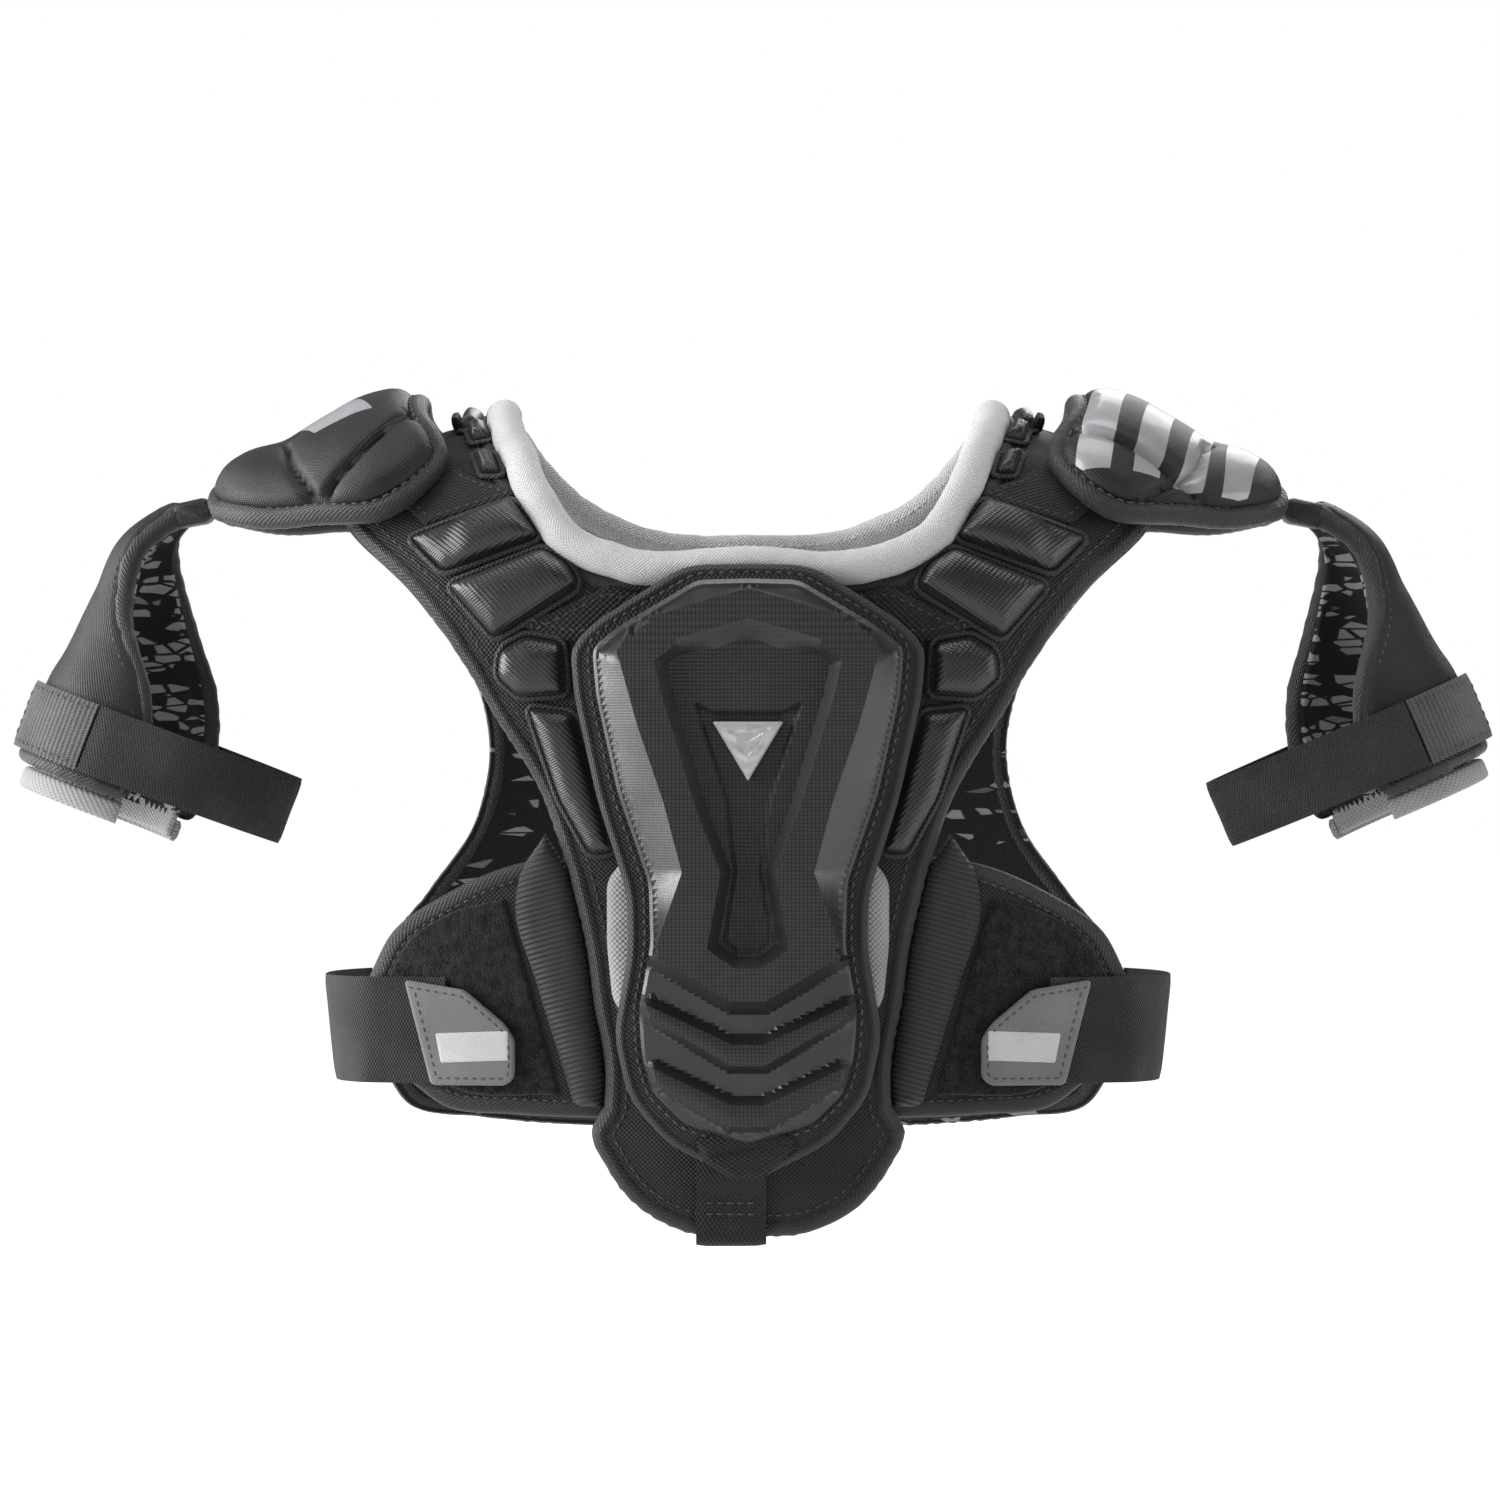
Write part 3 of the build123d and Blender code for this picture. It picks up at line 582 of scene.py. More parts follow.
def weave_group():
    """Over-and-under threads: threads per metre along each way, and how much they slant."""
    tree, given, out = group_tree("weave", {"Across": 700.0, "Along": 700.0, "Slant": 0.0}, ["Height"])
    x, y, _ = split_xy(tree, cloth_place(tree))
    slanted = maths(tree, "ADD", x, maths(tree, "MULTIPLY", y, given.outputs["Slant"]))
    warp = wave(tree, slanted, given.outputs["Across"])
    weft = wave(tree, y, given.outputs["Along"])
    tree.links.new(maths(tree, "MULTIPLY", warp, weft), out.inputs[0])
    return tree


def mottle_group():
    """Slow and fine unevenness over an object, between 0 and 1."""
    tree, given, out = group_tree("mottle", {"Scale": 40.0, "Fine": 900.0}, ["Slow", "Fine"])
    place = cloth_place(tree, "Object")
    for index, (label, detail) in enumerate((("Scale", 4.0), ("Fine", 2.0))):
        noise = tree.nodes.new("ShaderNodeTexNoise")
        noise.inputs["Detail"].default_value = detail
        tree.links.new(place, noise.inputs["Vector"])
        tree.links.new(given.outputs[label], noise.inputs["Scale"])
        tree.links.new(noise.outputs[0], out.inputs[index])
    return tree


def dots_group():
    """Fine raised dots in a grid, set by dots per metre."""
    tree, given, out = group_tree("dots", {"Pitch": 650.0}, ["Height"])
    x, y, _ = split_xy(tree, cloth_place(tree))
    rows = [wave(tree, maths(tree, way, x, y), given.outputs["Pitch"]) for way in ("ADD", "SUBTRACT")]
    tree.links.new(maths(tree, "MULTIPLY", *rows), out.inputs[0])
    return tree


WEAVE, MOTTLE, DOTS = weave_group(), mottle_group(), dots_group()


def use_group(tree, group, **values):
    """Node that puts a shared group to use, with its numbers set."""
    node = tree.nodes.new("ShaderNodeGroup")
    node.node_tree = group
    for label, value in values.items():
        node.inputs[label].default_value = value
    return node


def paint(tree, shader, share, dark, light, tint=0.0):
    """Base colour that runs between a dark and a light grey, with a little more blue by the tint."""
    node = tree.nodes.new("ShaderNodeMix")
    node.data_type = "RGBA"
    for socket, value in zip((node.inputs[6], node.inputs[7]), (dark, light)):
        socket.default_value = (value, value, value * (1 + tint), 1)
    tree.links.new(share, node.inputs[0])
    tree.links.new(node.outputs[2], shader.inputs["Base Color"])


def spread(tree, value, low, high, to_low=0.0, to_high=1.0):
    """Value between low and high, carried over to another range."""
    node = tree.nodes.new("ShaderNodeMapRange")
    for index, number in enumerate((low, high, to_low, to_high), start=1):
        node.inputs[index].default_value = number
    tree.links.new(value, node.inputs[0])
    return node.outputs[0]


def finish_material(name, rough, sheen=0.0, coat=0.0, specular=0.5):
    """New material with its shader's even values set; returns the material, its tree and its shader."""
    made = bpy.data.materials.new(name)
    made.use_nodes = True
    tree = made.node_tree
    shader = tree.nodes["Principled BSDF"]
    shader.inputs["Roughness"].default_value = rough
    shader.inputs["Sheen Weight"].default_value = sheen
    shader.inputs["Sheen Roughness"].default_value = 0.45
    shader.inputs["Coat Weight"].default_value = coat
    shader.inputs["Specular IOR Level"].default_value = specular
    return made, tree, shader


def bump(tree, shader, heights):
    """Chains bump nodes for (height, strength, depth in metres) into the shader's normal."""
    before = None
    for height, strength, depth in heights:
        node = tree.nodes.new("ShaderNodeBump")
        node.inputs["Strength"].default_value = strength
        node.inputs["Distance"].default_value = depth
        tree.links.new(height, node.inputs["Height"])
        if before:
            tree.links.new(before, node.inputs["Normal"])
        before = node.outputs[0]
    tree.links.new(before, shader.inputs["Normal"])


def cloth(
    name, dark, light, rough=0.8, warp=700.0, weft=700.0, slant=0.0, depth=0.0003, sheen=0.06, fuzz=0.4,
    specular=0.22,
):  # fmt: skip
    """Woven or knitted cloth: thread relief, uneven dye and a little fuzz."""
    made, tree, shader = finish_material(name, rough, sheen, specular=specular)
    threads = use_group(tree, WEAVE, Across=warp, Along=weft, Slant=slant)
    uneven = use_group(tree, MOTTLE, Scale=35.0, Fine=1400.0)
    dye = spread(tree, uneven.outputs[0], 0.3, 0.7, 0.1, 0.7)
    share = maths(tree, "ADD", maths(tree, "MULTIPLY", threads.outputs[0], 0.35), dye)
    paint(tree, shader, share, dark, light)
    bump(tree, shader, [(threads.outputs[0], 0.7, depth), (uneven.outputs[1], fuzz, depth * 0.8)])
    return made


PANEL_CLOTH = cloth("black panel cloth", 0.003, 0.01, 0.6, 620, 620, 0.0, specular=0.3)
RIB_CLOTH = cloth("black rib knit", 0.003, 0.01, 0.34, 500, 760, 0.5, 0.0001, 0.05, 0.15, 0.5)
BINDING = cloth("black binding tape", 0.003, 0.014, 0.5, 520, 900, 0.6, 0.0002, specular=0.4)
WEBBING = cloth("black webbing", 0.004, 0.018, 0.7, 420, 620, 0.0, 0.0005)
ELASTIC = cloth("black elastic", 0.01, 0.04, 0.8, 900, 480, 0.0, 0.0005)
THREAD = cloth("thread", 0.025, 0.07, 0.6, 1500, 1500, 0.0, 0.0001)
WHITE_CLOTH = cloth("white collar cloth", 0.34, 0.44, 0.8, 800, 800, 0.0, 0.0002, 0.1)
GREY_LINING = cloth("grey lining", 0.3, 0.44, 0.8, 600, 600, 0.3, 0.0004)
GREY_KNIT = cloth("grey knit", 0.18, 0.26, 0.85, 420, 600, 0.4, 0.0002)
PALE_FOAM = cloth("pale foam cloth", 0.16, 0.28, 0.85, 500, 500, 0.0, 0.0004)
TAB_CLOTH = cloth("grey tab cloth", 0.09, 0.16, 0.6, 900, 900, 0.0, 0.0001, 0.2, 0.2)
LABEL = cloth("pale label", 0.34, 0.46, 0.45, 1200, 1200, 0.0, 0.0001, 0.0, 0.1)
HOOK_CLOTH = cloth("hook tab cloth", 0.035, 0.1, 0.75, 500, 500, 1.0, 0.0005, 0.08, 0.6)
CAP_CLOTH = cloth("black cap knit", 0.004, 0.011, 0.48, 900, 900, 0.3, 0.0001, 0.02, 0.3, 0.25)


def pile_material():
    """Loop pile: a dense matt fuzz of tiny tufts."""
    made, tree, shader = finish_material("loop pile", 0.95, 0.15, specular=0.15)
    uneven = use_group(tree, MOTTLE, Scale=260.0, Fine=1700.0)
    share = maths(tree, "MULTIPLY", uneven.outputs[1], uneven.outputs[0])
    paint(tree, shader, spread(tree, share, 0.15, 0.4), 0.002, 0.02)
    bump(tree, shader, [(uneven.outputs[0], 0.8, 0.0012), (uneven.outputs[1], 1.0, 0.0012)])
    return made


def foam(name, rough, specular, pitch, dotted, dark, light, gloss, relief):
    """Pressed foam with a pattern of dots: how far the dots show in colour, the gloss range, and relief."""
    made, tree, shader = finish_material(name, rough, 0.03, specular=specular)
    dots = use_group(tree, DOTS, Pitch=pitch)
    uneven = use_group(tree, MOTTLE, Scale=18.0, Fine=700.0)
    dot_share = spread(tree, dots.outputs[0], 0.1, 1.0, 0.0, dotted)
    slow_share = spread(tree, uneven.outputs[0], 0.3, 0.7, 0.0, 1 - dotted)
    paint(tree, shader, maths(tree, "ADD", dot_share, slow_share), dark, light)
    tree.links.new(spread(tree, uneven.outputs[1], 0.3, 0.7, *gloss), shader.inputs["Roughness"])
    bump(tree, shader, [(dots.outputs[0], *relief)])
    return made


def ribbed_material():
    """Cloth woven in fine slanting cords."""
    made, tree, shader = finish_material("corded cloth", 0.6, 0.06, specular=0.4)
    x, y, _ = split_xy(tree, cloth_place(tree))
    way = maths(tree, "ADD", maths(tree, "MULTIPLY", y, 520.0), maths(tree, "MULTIPLY", x, 150.0))
    cords = maths(tree, "SINE", maths(tree, "MULTIPLY", way, math.tau))
    uneven = use_group(tree, MOTTLE, Scale=30.0, Fine=1200.0)
    paint(tree, shader, spread(tree, cords, -1, 1), 0.004, 0.02)
    bump(tree, shader, [(cords, 0.8, 0.0007), (uneven.outputs[1], 0.3, 0.0002)])
    return made


def badge_material():
    """Satin silver of the badge."""
    made, tree, shader = finish_material("satin silver", 0.32, specular=0.5)
    shader.inputs["Metallic"].default_value = 0.4
    uneven = use_group(tree, MOTTLE, Scale=90.0, Fine=900.0)
    paint(tree, shader, uneven.outputs[1], 0.3, 0.42)
    tree.links.new(spread(tree, uneven.outputs[0], 0.3, 0.7, 0.25, 0.4), shader.inputs["Roughness"])
    return made


def reflective_material():
    """Pale reflective film: soft metallic grey with fine crazing."""
    made, tree, shader = finish_material("reflective film", 0.42, coat=0.2, specular=0.5)
    shader.inputs["Metallic"].default_value = 0.1
    uneven = use_group(tree, MOTTLE, Scale=60.0, Fine=1500.0)
    paint(tree, shader, uneven.outputs[0], 0.15, 0.25, 0.05)
    tree.links.new(spread(tree, uneven.outputs[1], 0.3, 0.7, 0.35, 0.5), shader.inputs["Roughness"])
    bump(tree, shader, [(uneven.outputs[1], 0.3, 0.0002)])
    return made


def printed_material(name, least):
    """Lining cloth printed with a plain pattern of pale shards on black; least sets how few are pale."""
    made, tree, shader = finish_material(name, 0.75, 0.05, specular=0.2)
    cells = tree.nodes.new("ShaderNodeTexVoronoi")
    cells.feature = "DISTANCE_TO_EDGE"
    cells.inputs["Scale"].default_value = 230.0
    stretch = tree.nodes.new("ShaderNodeMapping")
    stretch.inputs["Scale"].default_value = (0.45, 0.45, 1.5)
    stretch.inputs["Rotation"].default_value = (0.2, 0.35, 0.3)
    tree.links.new(cloth_place(tree, "Object"), stretch.inputs["Vector"])
    tree.links.new(stretch.outputs[0], cells.inputs["Vector"])
    tone = tree.nodes.new("ShaderNodeTexVoronoi")
    tone.inputs["Scale"].default_value = 230.0
    tree.links.new(stretch.outputs[0], tone.inputs["Vector"])
    picked = spread(tree, split_xy(tree, tone.outputs["Color"])[0], least, least + 0.05)
    lines = spread(tree, cells.outputs["Distance"], 0.08, 0.13)
    paint(tree, shader, maths(tree, "MULTIPLY", picked, lines), 0.006, 0.2)
    threads = use_group(tree, WEAVE, Across=800.0, Along=800.0)
    bump(tree, shader, [(threads.outputs[0], 0.5, 0.0002)])
    return made


PILE, CORDED, SILVER, REFLECTIVE = pile_material(), ribbed_material(), badge_material(), reflective_material()
MOULDED = foam("pressed foam", 0.36, 0.6, 520.0, 0.6, 0.005, 0.012, (0.32, 0.44), (0.2, 0.0001))
MOULDED_DOTS = foam("dotted foam", 0.5, 0.35, 360.0, 0.8, 0.003, 0.03, (0.45, 0.6), (0.5, 0.0002))
PRINTED = printed_material("printed lining", 0.45)
SPARSE_PRINT = printed_material("sparse printed lining", 0.8)

SIDES = (("right", 1), ("left", -1))


def place(piece, body, slot, *nodes, fill=None):
    """Hangs a piece on its body and hides the solid-model parts that it stands for; its slot and fill are not
    used.
    """
    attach(piece, body)
    if nodes:
        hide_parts(*nodes)
    return piece


def level(thick):
    """Even thickness with a slightly rounded edge."""
    return lambda flat, edge: thick * (0.55 + 0.45 * np.sqrt(1 - (1 - np.clip(edge / 1.2, 0, 1)) ** 2))


def pillow(thick, turn, base=0.25, crown=0.0, wrinkle=0.0, seed=1):
    """Padded profile: rises over the first stretch from its edge, then swells gently to its middle."""

    def height(flat, edge):
        rise = np.sqrt(np.clip(1 - (1 - np.clip(edge / turn, 0, 1)) ** 2, 0, 1))
        swell = crown * (1 - np.exp(-edge / (turn * 2)))
        folds = wrinkle * ripple(flat, 16, seed) * ease(edge / 4)
        return thick * (base + (1 - base) * rise) + swell + folds

    return height


def ribbon(name, edges, thick, material, flip=(1, 1), across=9, wave=0.0, seed=3):
    """Webbing or elastic between two edge lines, with soft selvedges and a little unevenness."""
    first, second = (np.asarray(edge, float) for edge in edges)
    share = np.linspace(0, 1, across)
    middle = (first + second) / 2
    tangent = np.gradient(middle, axis=0)
    normal = unit(np.cross(tangent, second - first))
    half = thick / 2 * np.sqrt(np.clip(1 - (np.abs(share * 2 - 1)) ** 6, 0.1, 1))
    sheet = first[:, None] * (1 - share)[None, :, None] + second[:, None] * share[None, :, None]
    run = along(middle)
    width = np.linalg.norm(second - first, axis=1).mean()
    spots = np.stack([np.repeat(run, across), np.tile(share * width, len(run))], axis=1)
    shift = (wave * ripple(spots, 30, seed)).reshape(len(run), across)
    top = sheet + normal[:, None] * (shift + half)[:, :, None]
    low = sheet + normal[:, None] * (shift - half)[:, :, None]
    points = np.concatenate([top, low[:, ::-1]], axis=1)
    columns = 2 * across
    faces = grid_faces(len(run), columns, wrap=True)
    last = (len(run) - 1) * columns
    for row, reverse in ((0, False), (last, True)):
        for i in range(across - 1):
            quad = (row + i, row + i + 1, row + columns - 2 - i, row + columns - 1 - i)
            faces.append(quad[::-1] if reverse else quad)
    rows = spots.reshape(len(run), across, 2)
    uv = np.concatenate([rows, rows[:, ::-1]], axis=1).reshape(-1, 2)
    return make_object(name, points.reshape(-1, 3), [f[::-1] for f in faces], uv, material, flip, 60)


def trimmed_edge(name, loop, surface, lift, body, slot, flip, inset=3.0, pitch=3.6):
    """Row of stitches a little way inside an edge."""
    path, normal = path_on(surface, offset_loop(loop, -inset), lift)
    place(stitches(name, path, normal, THREAD, gap=pitch, flip=flip, closed=True), body, slot)


def rounded_patch(points, reach=3.0, lift=RIB_LIFT, gap=1.5):
    """Flat loop with softened corners from a straight-sided front-view outline."""
    return unroll(densify(round_corners(np.array(points, float), reach), gap), lift)


# ---- vest -------------------------------------------------------------------------------------
def vest_loop(neck, crest, armhole, rest):
    """Closed flat loop of a vest panel from front-view runs; crest holds x of its two shoulder ends."""
    inner, outer = (crest[0], 0.0), (crest[1], 0.0)
    first = np.concatenate([unroll(neck), [inner]])
    second = np.concatenate([[outer], unroll(armhole)])
    return chain(first, [inner, outer], second, *[unroll(run) for run in rest], mirrored=True, gap=2.0)


def front_loop():
    """Outline of the vest's front, from the neck round the armhole and down to the hem."""
    neck = [(0, -49), (-30, -49), (-50, -48.3), (-68, -39.5), (-82.4, -19), (-90, 0)]
    armhole = [(-140, -32.5), (-115, -59), (-100, -81), (-90, -98), (-73.5, -125), (-63, -154)]
    side = [(-63, -154), (-57, -180), (-54, -201), (-50, -225), (-50.5, -238)]
    hem = [(-50.5, -238), (-55, -247), (-50, -259), (-39, -273), (-22, -282), (0, -284)]
    return vest_loop(neck, (-93, -147), armhole, (side, hem))


def back_loop():
    """Outline of the vest's back, in the same order as the front."""
    neck = [(0, -41.5), (-30, -40.5), (-50, -36), (-68, -26), (-82, -12.5), (-90, 0)]
    armhole = [(-140, -32.5), (-118, -60), (-101, -86), (-96, -108), (-101, -137), (-120, -166)]
    side = [(-120, -166), (-131, -180), (-136, -200), (-134, -230)]
    hem = [(-134, -230), (-126, -242), (-100, -247), (-50, -251), (0, -252)]
    return vest_loop(neck, (-93, -147), armhole, (side, hem))


def make_liner(name, loop, flip, inner):
    """Quilted panel of the vest with a puckered tape bound round its edge."""
    node = name + "_liner"
    thick = PANEL_TOP - PANEL_LIFT
    quilting = pillow(thick - 0.4, 5, 0.5, 0.2, 0.35, 5)
    panel = pad(node, loop, on_vest, PANEL_LIFT, quilting, PANEL_CLOTH, 3.0, flip)
    panel.data.materials.append(inner)
    count = len(panel.data.polygons)
    middles = np.empty(count * 3)
    normals = np.empty(count * 3)
    panel.data.polygons.foreach_get("center", middles)
    panel.data.polygons.foreach_get("normal", normals)
    outward = np.sign(flip[1]) * -normals.reshape(-1, 3)[:, 1]
    upward = normals.reshape(-1, 3)[:, 2]
    high = middles.reshape(-1, 3)[:, 2] > SPRING_Z * MM
    facing_in = np.where(high, outward + upward, outward) < -0.2
    panel.data.polygons.foreach_set("material_index", facing_in.astype("i"))
    place(panel, "vest", "black_cloth", node, fill=0.8)

    line = offset_loop(loop, -2.6)
    run = along(line)
    puckers = 0.07 * np.sin(run * 2 * math.pi / 5.3) * ease(0.5 + ripple(line, 40, 9))
    swell = 1 + puckers + 0.05 * ripple(line, 18, 8)
    path, normal = path_on(on_vest, line, (PANEL_LIFT + PANEL_TOP) / 2)
    section = soft_bar(6.6, thick + 1.0, 0.5) - (0, (thick + 1.0) / 2)
    tape = sweep(name + "_liner_tape", path, normal, section, BINDING, True, flip, swell)
    place(tape, "vest", "binding_cloth")
    seam_lift = PANEL_TOP - 0.1
    trimmed_edge(name + "_liner_stitches", loop, on_vest, seam_lift, "vest", "binding_cloth", flip, 7.0)


def make_roll(name, node, points, lift, radius, material, slot, flip, seed):
    """Soft roll along a neck edge, with gathers where its cloth turns."""
    half = np.concatenate([[(points[0][0] - 2.0, 0.4)], unroll(points, lift)])
    flat = smooth(np.concatenate([half, half[:-1][::-1] * (-1, 1)]), 1.6)
    path, normal = path_on(on_vest, flat, lift)
    count = len(path)
    turns = np.linspace(0, 2 * math.pi, 24, endpoint=False)
    _, out, across = frames_along(path, normal)
    run = along(path)
    spots = np.stack([np.repeat(run, 24), np.tile(turns * radius, count)], axis=1)
    dents = 0.35 * ripple(spots, 22, seed) + 0.22 * ripple(spots * (1, 0.25), 7, seed + 1)
    size = (radius + dents).reshape(count, 24)
    points = path[:, None] + across[:, None] * (np.cos(turns) * size * 1.06)[:, :, None]
    points = points + out[:, None] * (np.sin(turns) * size * 0.97)[:, :, None]
    faces = [f[::-1] for f in grid_faces(count, 24, wrap=True)]
    faces += [tuple(range(24)), tuple(range((count - 1) * 24, count * 24))[::-1]]
    made = make_object(name, points.reshape(-1, 3), faces, spots, material, flip, 60)
    place(made, "vest", slot, node, fill=0.9)
    for index, angle in enumerate((-62, 242)):
        turn = math.radians(angle)
        line = path + across * (math.cos(turn) * radius * 1.06) + out * (math.sin(turn) * radius * 0.97)
        away = across * math.cos(turn) + out * math.sin(turn)
        place(stitches(f"{name}_seam_{index + 1}", line, away, material, 2.6, 3.4, 0.7, flip), "vest", slot)


def make_neck():
    """White roll and grey lining round the neck."""
    collar = [(-87, 4), (-83, -4), (-76.5, -19), (-64.5, -36), (-45, -44.6), (0, -44.9)]
    make_roll("collar_roll", "collar_roll", collar, PANEL_TOP, 6.0, WHITE_CLOTH, "white_cloth", (1, 1), 21)
    back = [(-86, 3), (-79.5, -6), (-62.5, -22.5), (-41, -32.5), (0, -36)]
    lift = (PANEL_LIFT + PANEL_TOP) / 2
    make_roll("back_neck_roll", "back_neck_roll", back, lift, 5.0, GREY_LINING, "grey_lining", (1, -1), 33)
    band = [(0, -39), (-34, -36.8), (-54, -30), (-70, -19.5), (-84, -4)]
    edge = [(-84, -4), (-92, -30), (-80, -62), (-40, -84), (0, -88)]
    loop = chain(unroll(band), unroll(edge), mirrored=True, gap=2)
    soft = pillow(1.8, 3, 0.3, 0.6, 0.9, 12)
    low = PANEL_LIFT - 0.3
    lining = pad("back_neck_lining", loop, on_vest, low, soft, GREY_LINING, 2.0, (1, -1), outward=-1)
    place(lining, "vest", "grey_lining", "back_neck_lining", fill=0.3)


def make_rib(node, loops, side, flip, thick, crown=2.6, height=None):
    """Padded blocks of one shoulder rib, each with a welt sewn round its foot."""
    for index, loop in enumerate(loops):
        name = f"{side}_{node}" + (f"_{index + 1}" if len(loops) > 1 else "")
        shape = height or pillow(thick, 5.5, 0.2, crown, 0.25, 14 + index)
        made = pad(name, loop, on_vest, RIB_LIFT, shape, RIB_CLOTH, 2.0, flip, 70)
        place(made, "vest", "rib_cloth", f"{side}_{node}", fill=0.85)
        welt = offset_loop(loop, 1.0)
        path, normal = path_on(on_vest, welt, RIB_LIFT + 0.7)
        tape = sweep(name + "_welt", path, normal, ellipse(2.2, 1.8, 8), BINDING, True, flip)
        place(tape, "vest", "binding_cloth")


def make_ribs():
    """Padded ribs over the shoulders and down the chest."""
    low = RIB_TOP - RIB_LIFT
    upper = [(-121, -35.5), (-84, -22), (-74, -35.5), (-108.5, -48)]
    middle = [(-106.5, -52.5), (-73, -39.6), (-64, -45), (-60, -53), (-90, -71)]
    lower = [(-88, -76), (-79, -70.5), (-66, -73), (-64.5, -91), (-81, -92), (-89, -85)]
    lateral = [(-78, -96), (-62, -98), (-47, -147), (-56, -148), (-67, -128)]
    tops = [
        np.array([(-103.4, 3.0), (-103.4, 24.0), (-97.2, 24.0), (-95.4, 3.0)]),
        unroll([(-101, 3.8), (-93.8, 4.6), (-92.4, 0.4), (-99, -0.8)], RIB_LIFT),
        unroll([(-98, -5.2), (-91.2, -5.7), (-88.4, -12.8), (-95, -12.8)], RIB_LIFT),
    ]

    def cleared(flat, edge):
        """Lower where the rib runs under the cap."""
        return pillow(low, 5, 0.2, 2.4, 0.2, 6)(flat, edge) - 2.4 * ease((-flat[:, 0] - 98) / 10)

    for side, sign in SIDES:
        flip = (sign, 1)
        make_rib("upper_rib", [rounded_patch(upper)], side, flip, low, height=cleared)
        make_rib("middle_rib", [rounded_patch(middle)], side, flip, low)
        make_rib("lower_rib", [rounded_patch(lower)], side, flip, low - 0.4, 1.2)
        make_rib("side_rib", [rounded_patch(lateral)], side, flip, low - 0.6, 0.8)
        tops_flat = [densify(round_corners(top, 1.2), 1.0) for top in tops]
        make_rib("top_ribs", tops_flat, side, flip, low, 0.6)


def make_wings():
    """Side wings of the vest, their loop patches and the corded side pads."""
    top = [(-40, -150), (-84, -152.5), (-108, -163), (-126, -175.5), (-135, -192)]
    end = [(-135, -192), (-134, -215), (-121.5, -228.5)]
    bottom = [(-121.5, -228.5), (-108, -238), (-84, -240.5), (-40, -242)]
    wing = unroll(chain(top, end, bottom, (bottom[-1], top[0]), gap=2.0), WING_TOP)
    top = [(-87, -164), (-106, -169), (-121, -179), (-129, -193)]
    end = [(-129, -193), (-128, -212), (-117, -224.5)]
    bottom = [(-117, -224.5), (-104, -232), (-67.5, -234)]
    pile = unroll(chain(top, end, bottom, (bottom[-1], top[0]), gap=1.5), LOOP_LIFT)
    outer = [(-72, -141), (-81, -156), (-82.5, -166), (-75, -194), (-64.5, -228)]
    foot = [(-64.5, -228), (-61, -237), (-52, -238)]
    inner = [(-51.2, -228), (-54.9, -201), (-58, -180), (-64, -153.5)]
    panel = chain(outer, foot, (foot[-1], inner[0]), inner, (inner[-1], outer[0]), gap=1.6)
    panel = unroll(panel, PANEL_LIFT)
    wing_height = pillow(WING_TOP - 0.2, 4, 0.5, 0, 0.2, 4)
    panel_height = pillow(5.8, 6, 0.3, 1.2, 0.3, 17)

    def tufted(flat, edge):
        """Fuzz of uneven tufts."""
        tufts = 0.12 * ripple(flat, 3.4, 40, 2) + 0.12 * ripple(flat, 1.6, 41, 2)
        return 1.1 * ease(0.4 + edge / 1.0) + tufts * ease(edge / 1.5)

    for side, sign in SIDES:
        flip = (sign, 1)
        sheet = pad(f"{side}_wing", wing, on_vest, 0, wing_height, PANEL_CLOTH, 3.0, flip)
        place(sheet, "vest", "black_cloth", f"{side}_wing", fill=0.7)
        edge = offset_loop(wing, -3.0)
        tape = binding(f"{side}_wing_tape", edge, on_vest, 0.2, WING_TOP, 7.0, BINDING, flip)
        place(tape, "vest", "binding_cloth")
        seam, seam_lift = f"{side}_wing_stitches", WING_TOP + 0.75
        trimmed_edge(seam, wing, on_vest, seam_lift, "vest", "binding_cloth", flip, 5.2)
        fuzz = pad(f"{side}_loop_patch", pile, on_vest, LOOP_LIFT, tufted, PILE, 1.15, flip, 180)
        place(fuzz, "vest", "loop_pile", f"{side}_loop_patch")
        cords = pad(f"{side}_side_pad", panel, on_vest, PANEL_LIFT, panel_height, CORDED, 2.0, flip, 70)
        place(cords, "vest", "black_cloth", f"{side}_side_pad", fill=0.7)


def make_straps():
    """Webbing at the shoulders that the guard and the caps hang from."""
    tab = rounded_patch([(-80, -67), (-50, -52.8), (-37, -56), (-47, -73), (-66, -72)], 1.5)
    strap = [(-126, -21), (-106, -9.5), (-98, -14), (-84.5, -18.5), (-83, -21), (-115, -31)]
    strap = rounded_patch(strap, 1.5)
    top = RIB_LIFT + WEB_THICK
    anchor_x, anchor_reach = 107.2, 21.8
    rows = np.linspace(-anchor_reach, anchor_reach, 30)
    edges = []
    for x in (0.2 - anchor_x, 2.8 - anchor_x):
        line = on_vest(np.column_stack([np.full_like(rows, x), np.abs(rows)]), RIB_LIFT + 3.2)
        line[:, 1] *= np.where(rows > 0, 1, -1)
        edges.append(line)
    for side, sign in SIDES:
        flip = (sign, 1)
        for node, loop in (("guard_tab", tab), ("cap_strap", strap)):
            made = pad(f"{side}_{node}", loop, on_vest, RIB_LIFT, level(WEB_THICK), WEBBING, 2.5, flip)
            place(made, "vest", "black_webbing", f"{side}_{node}")
            seam = f"{side}_{node}_stitches"
            trimmed_edge(seam, loop, on_vest, top, "vest", "black_webbing", flip, 2.4)
        made = ribbon(f"{side}_cap_anchor", edges, 5.6, WEBBING, flip)
        place(made, "vest", "black_webbing", f"{side}_cap_anchor")


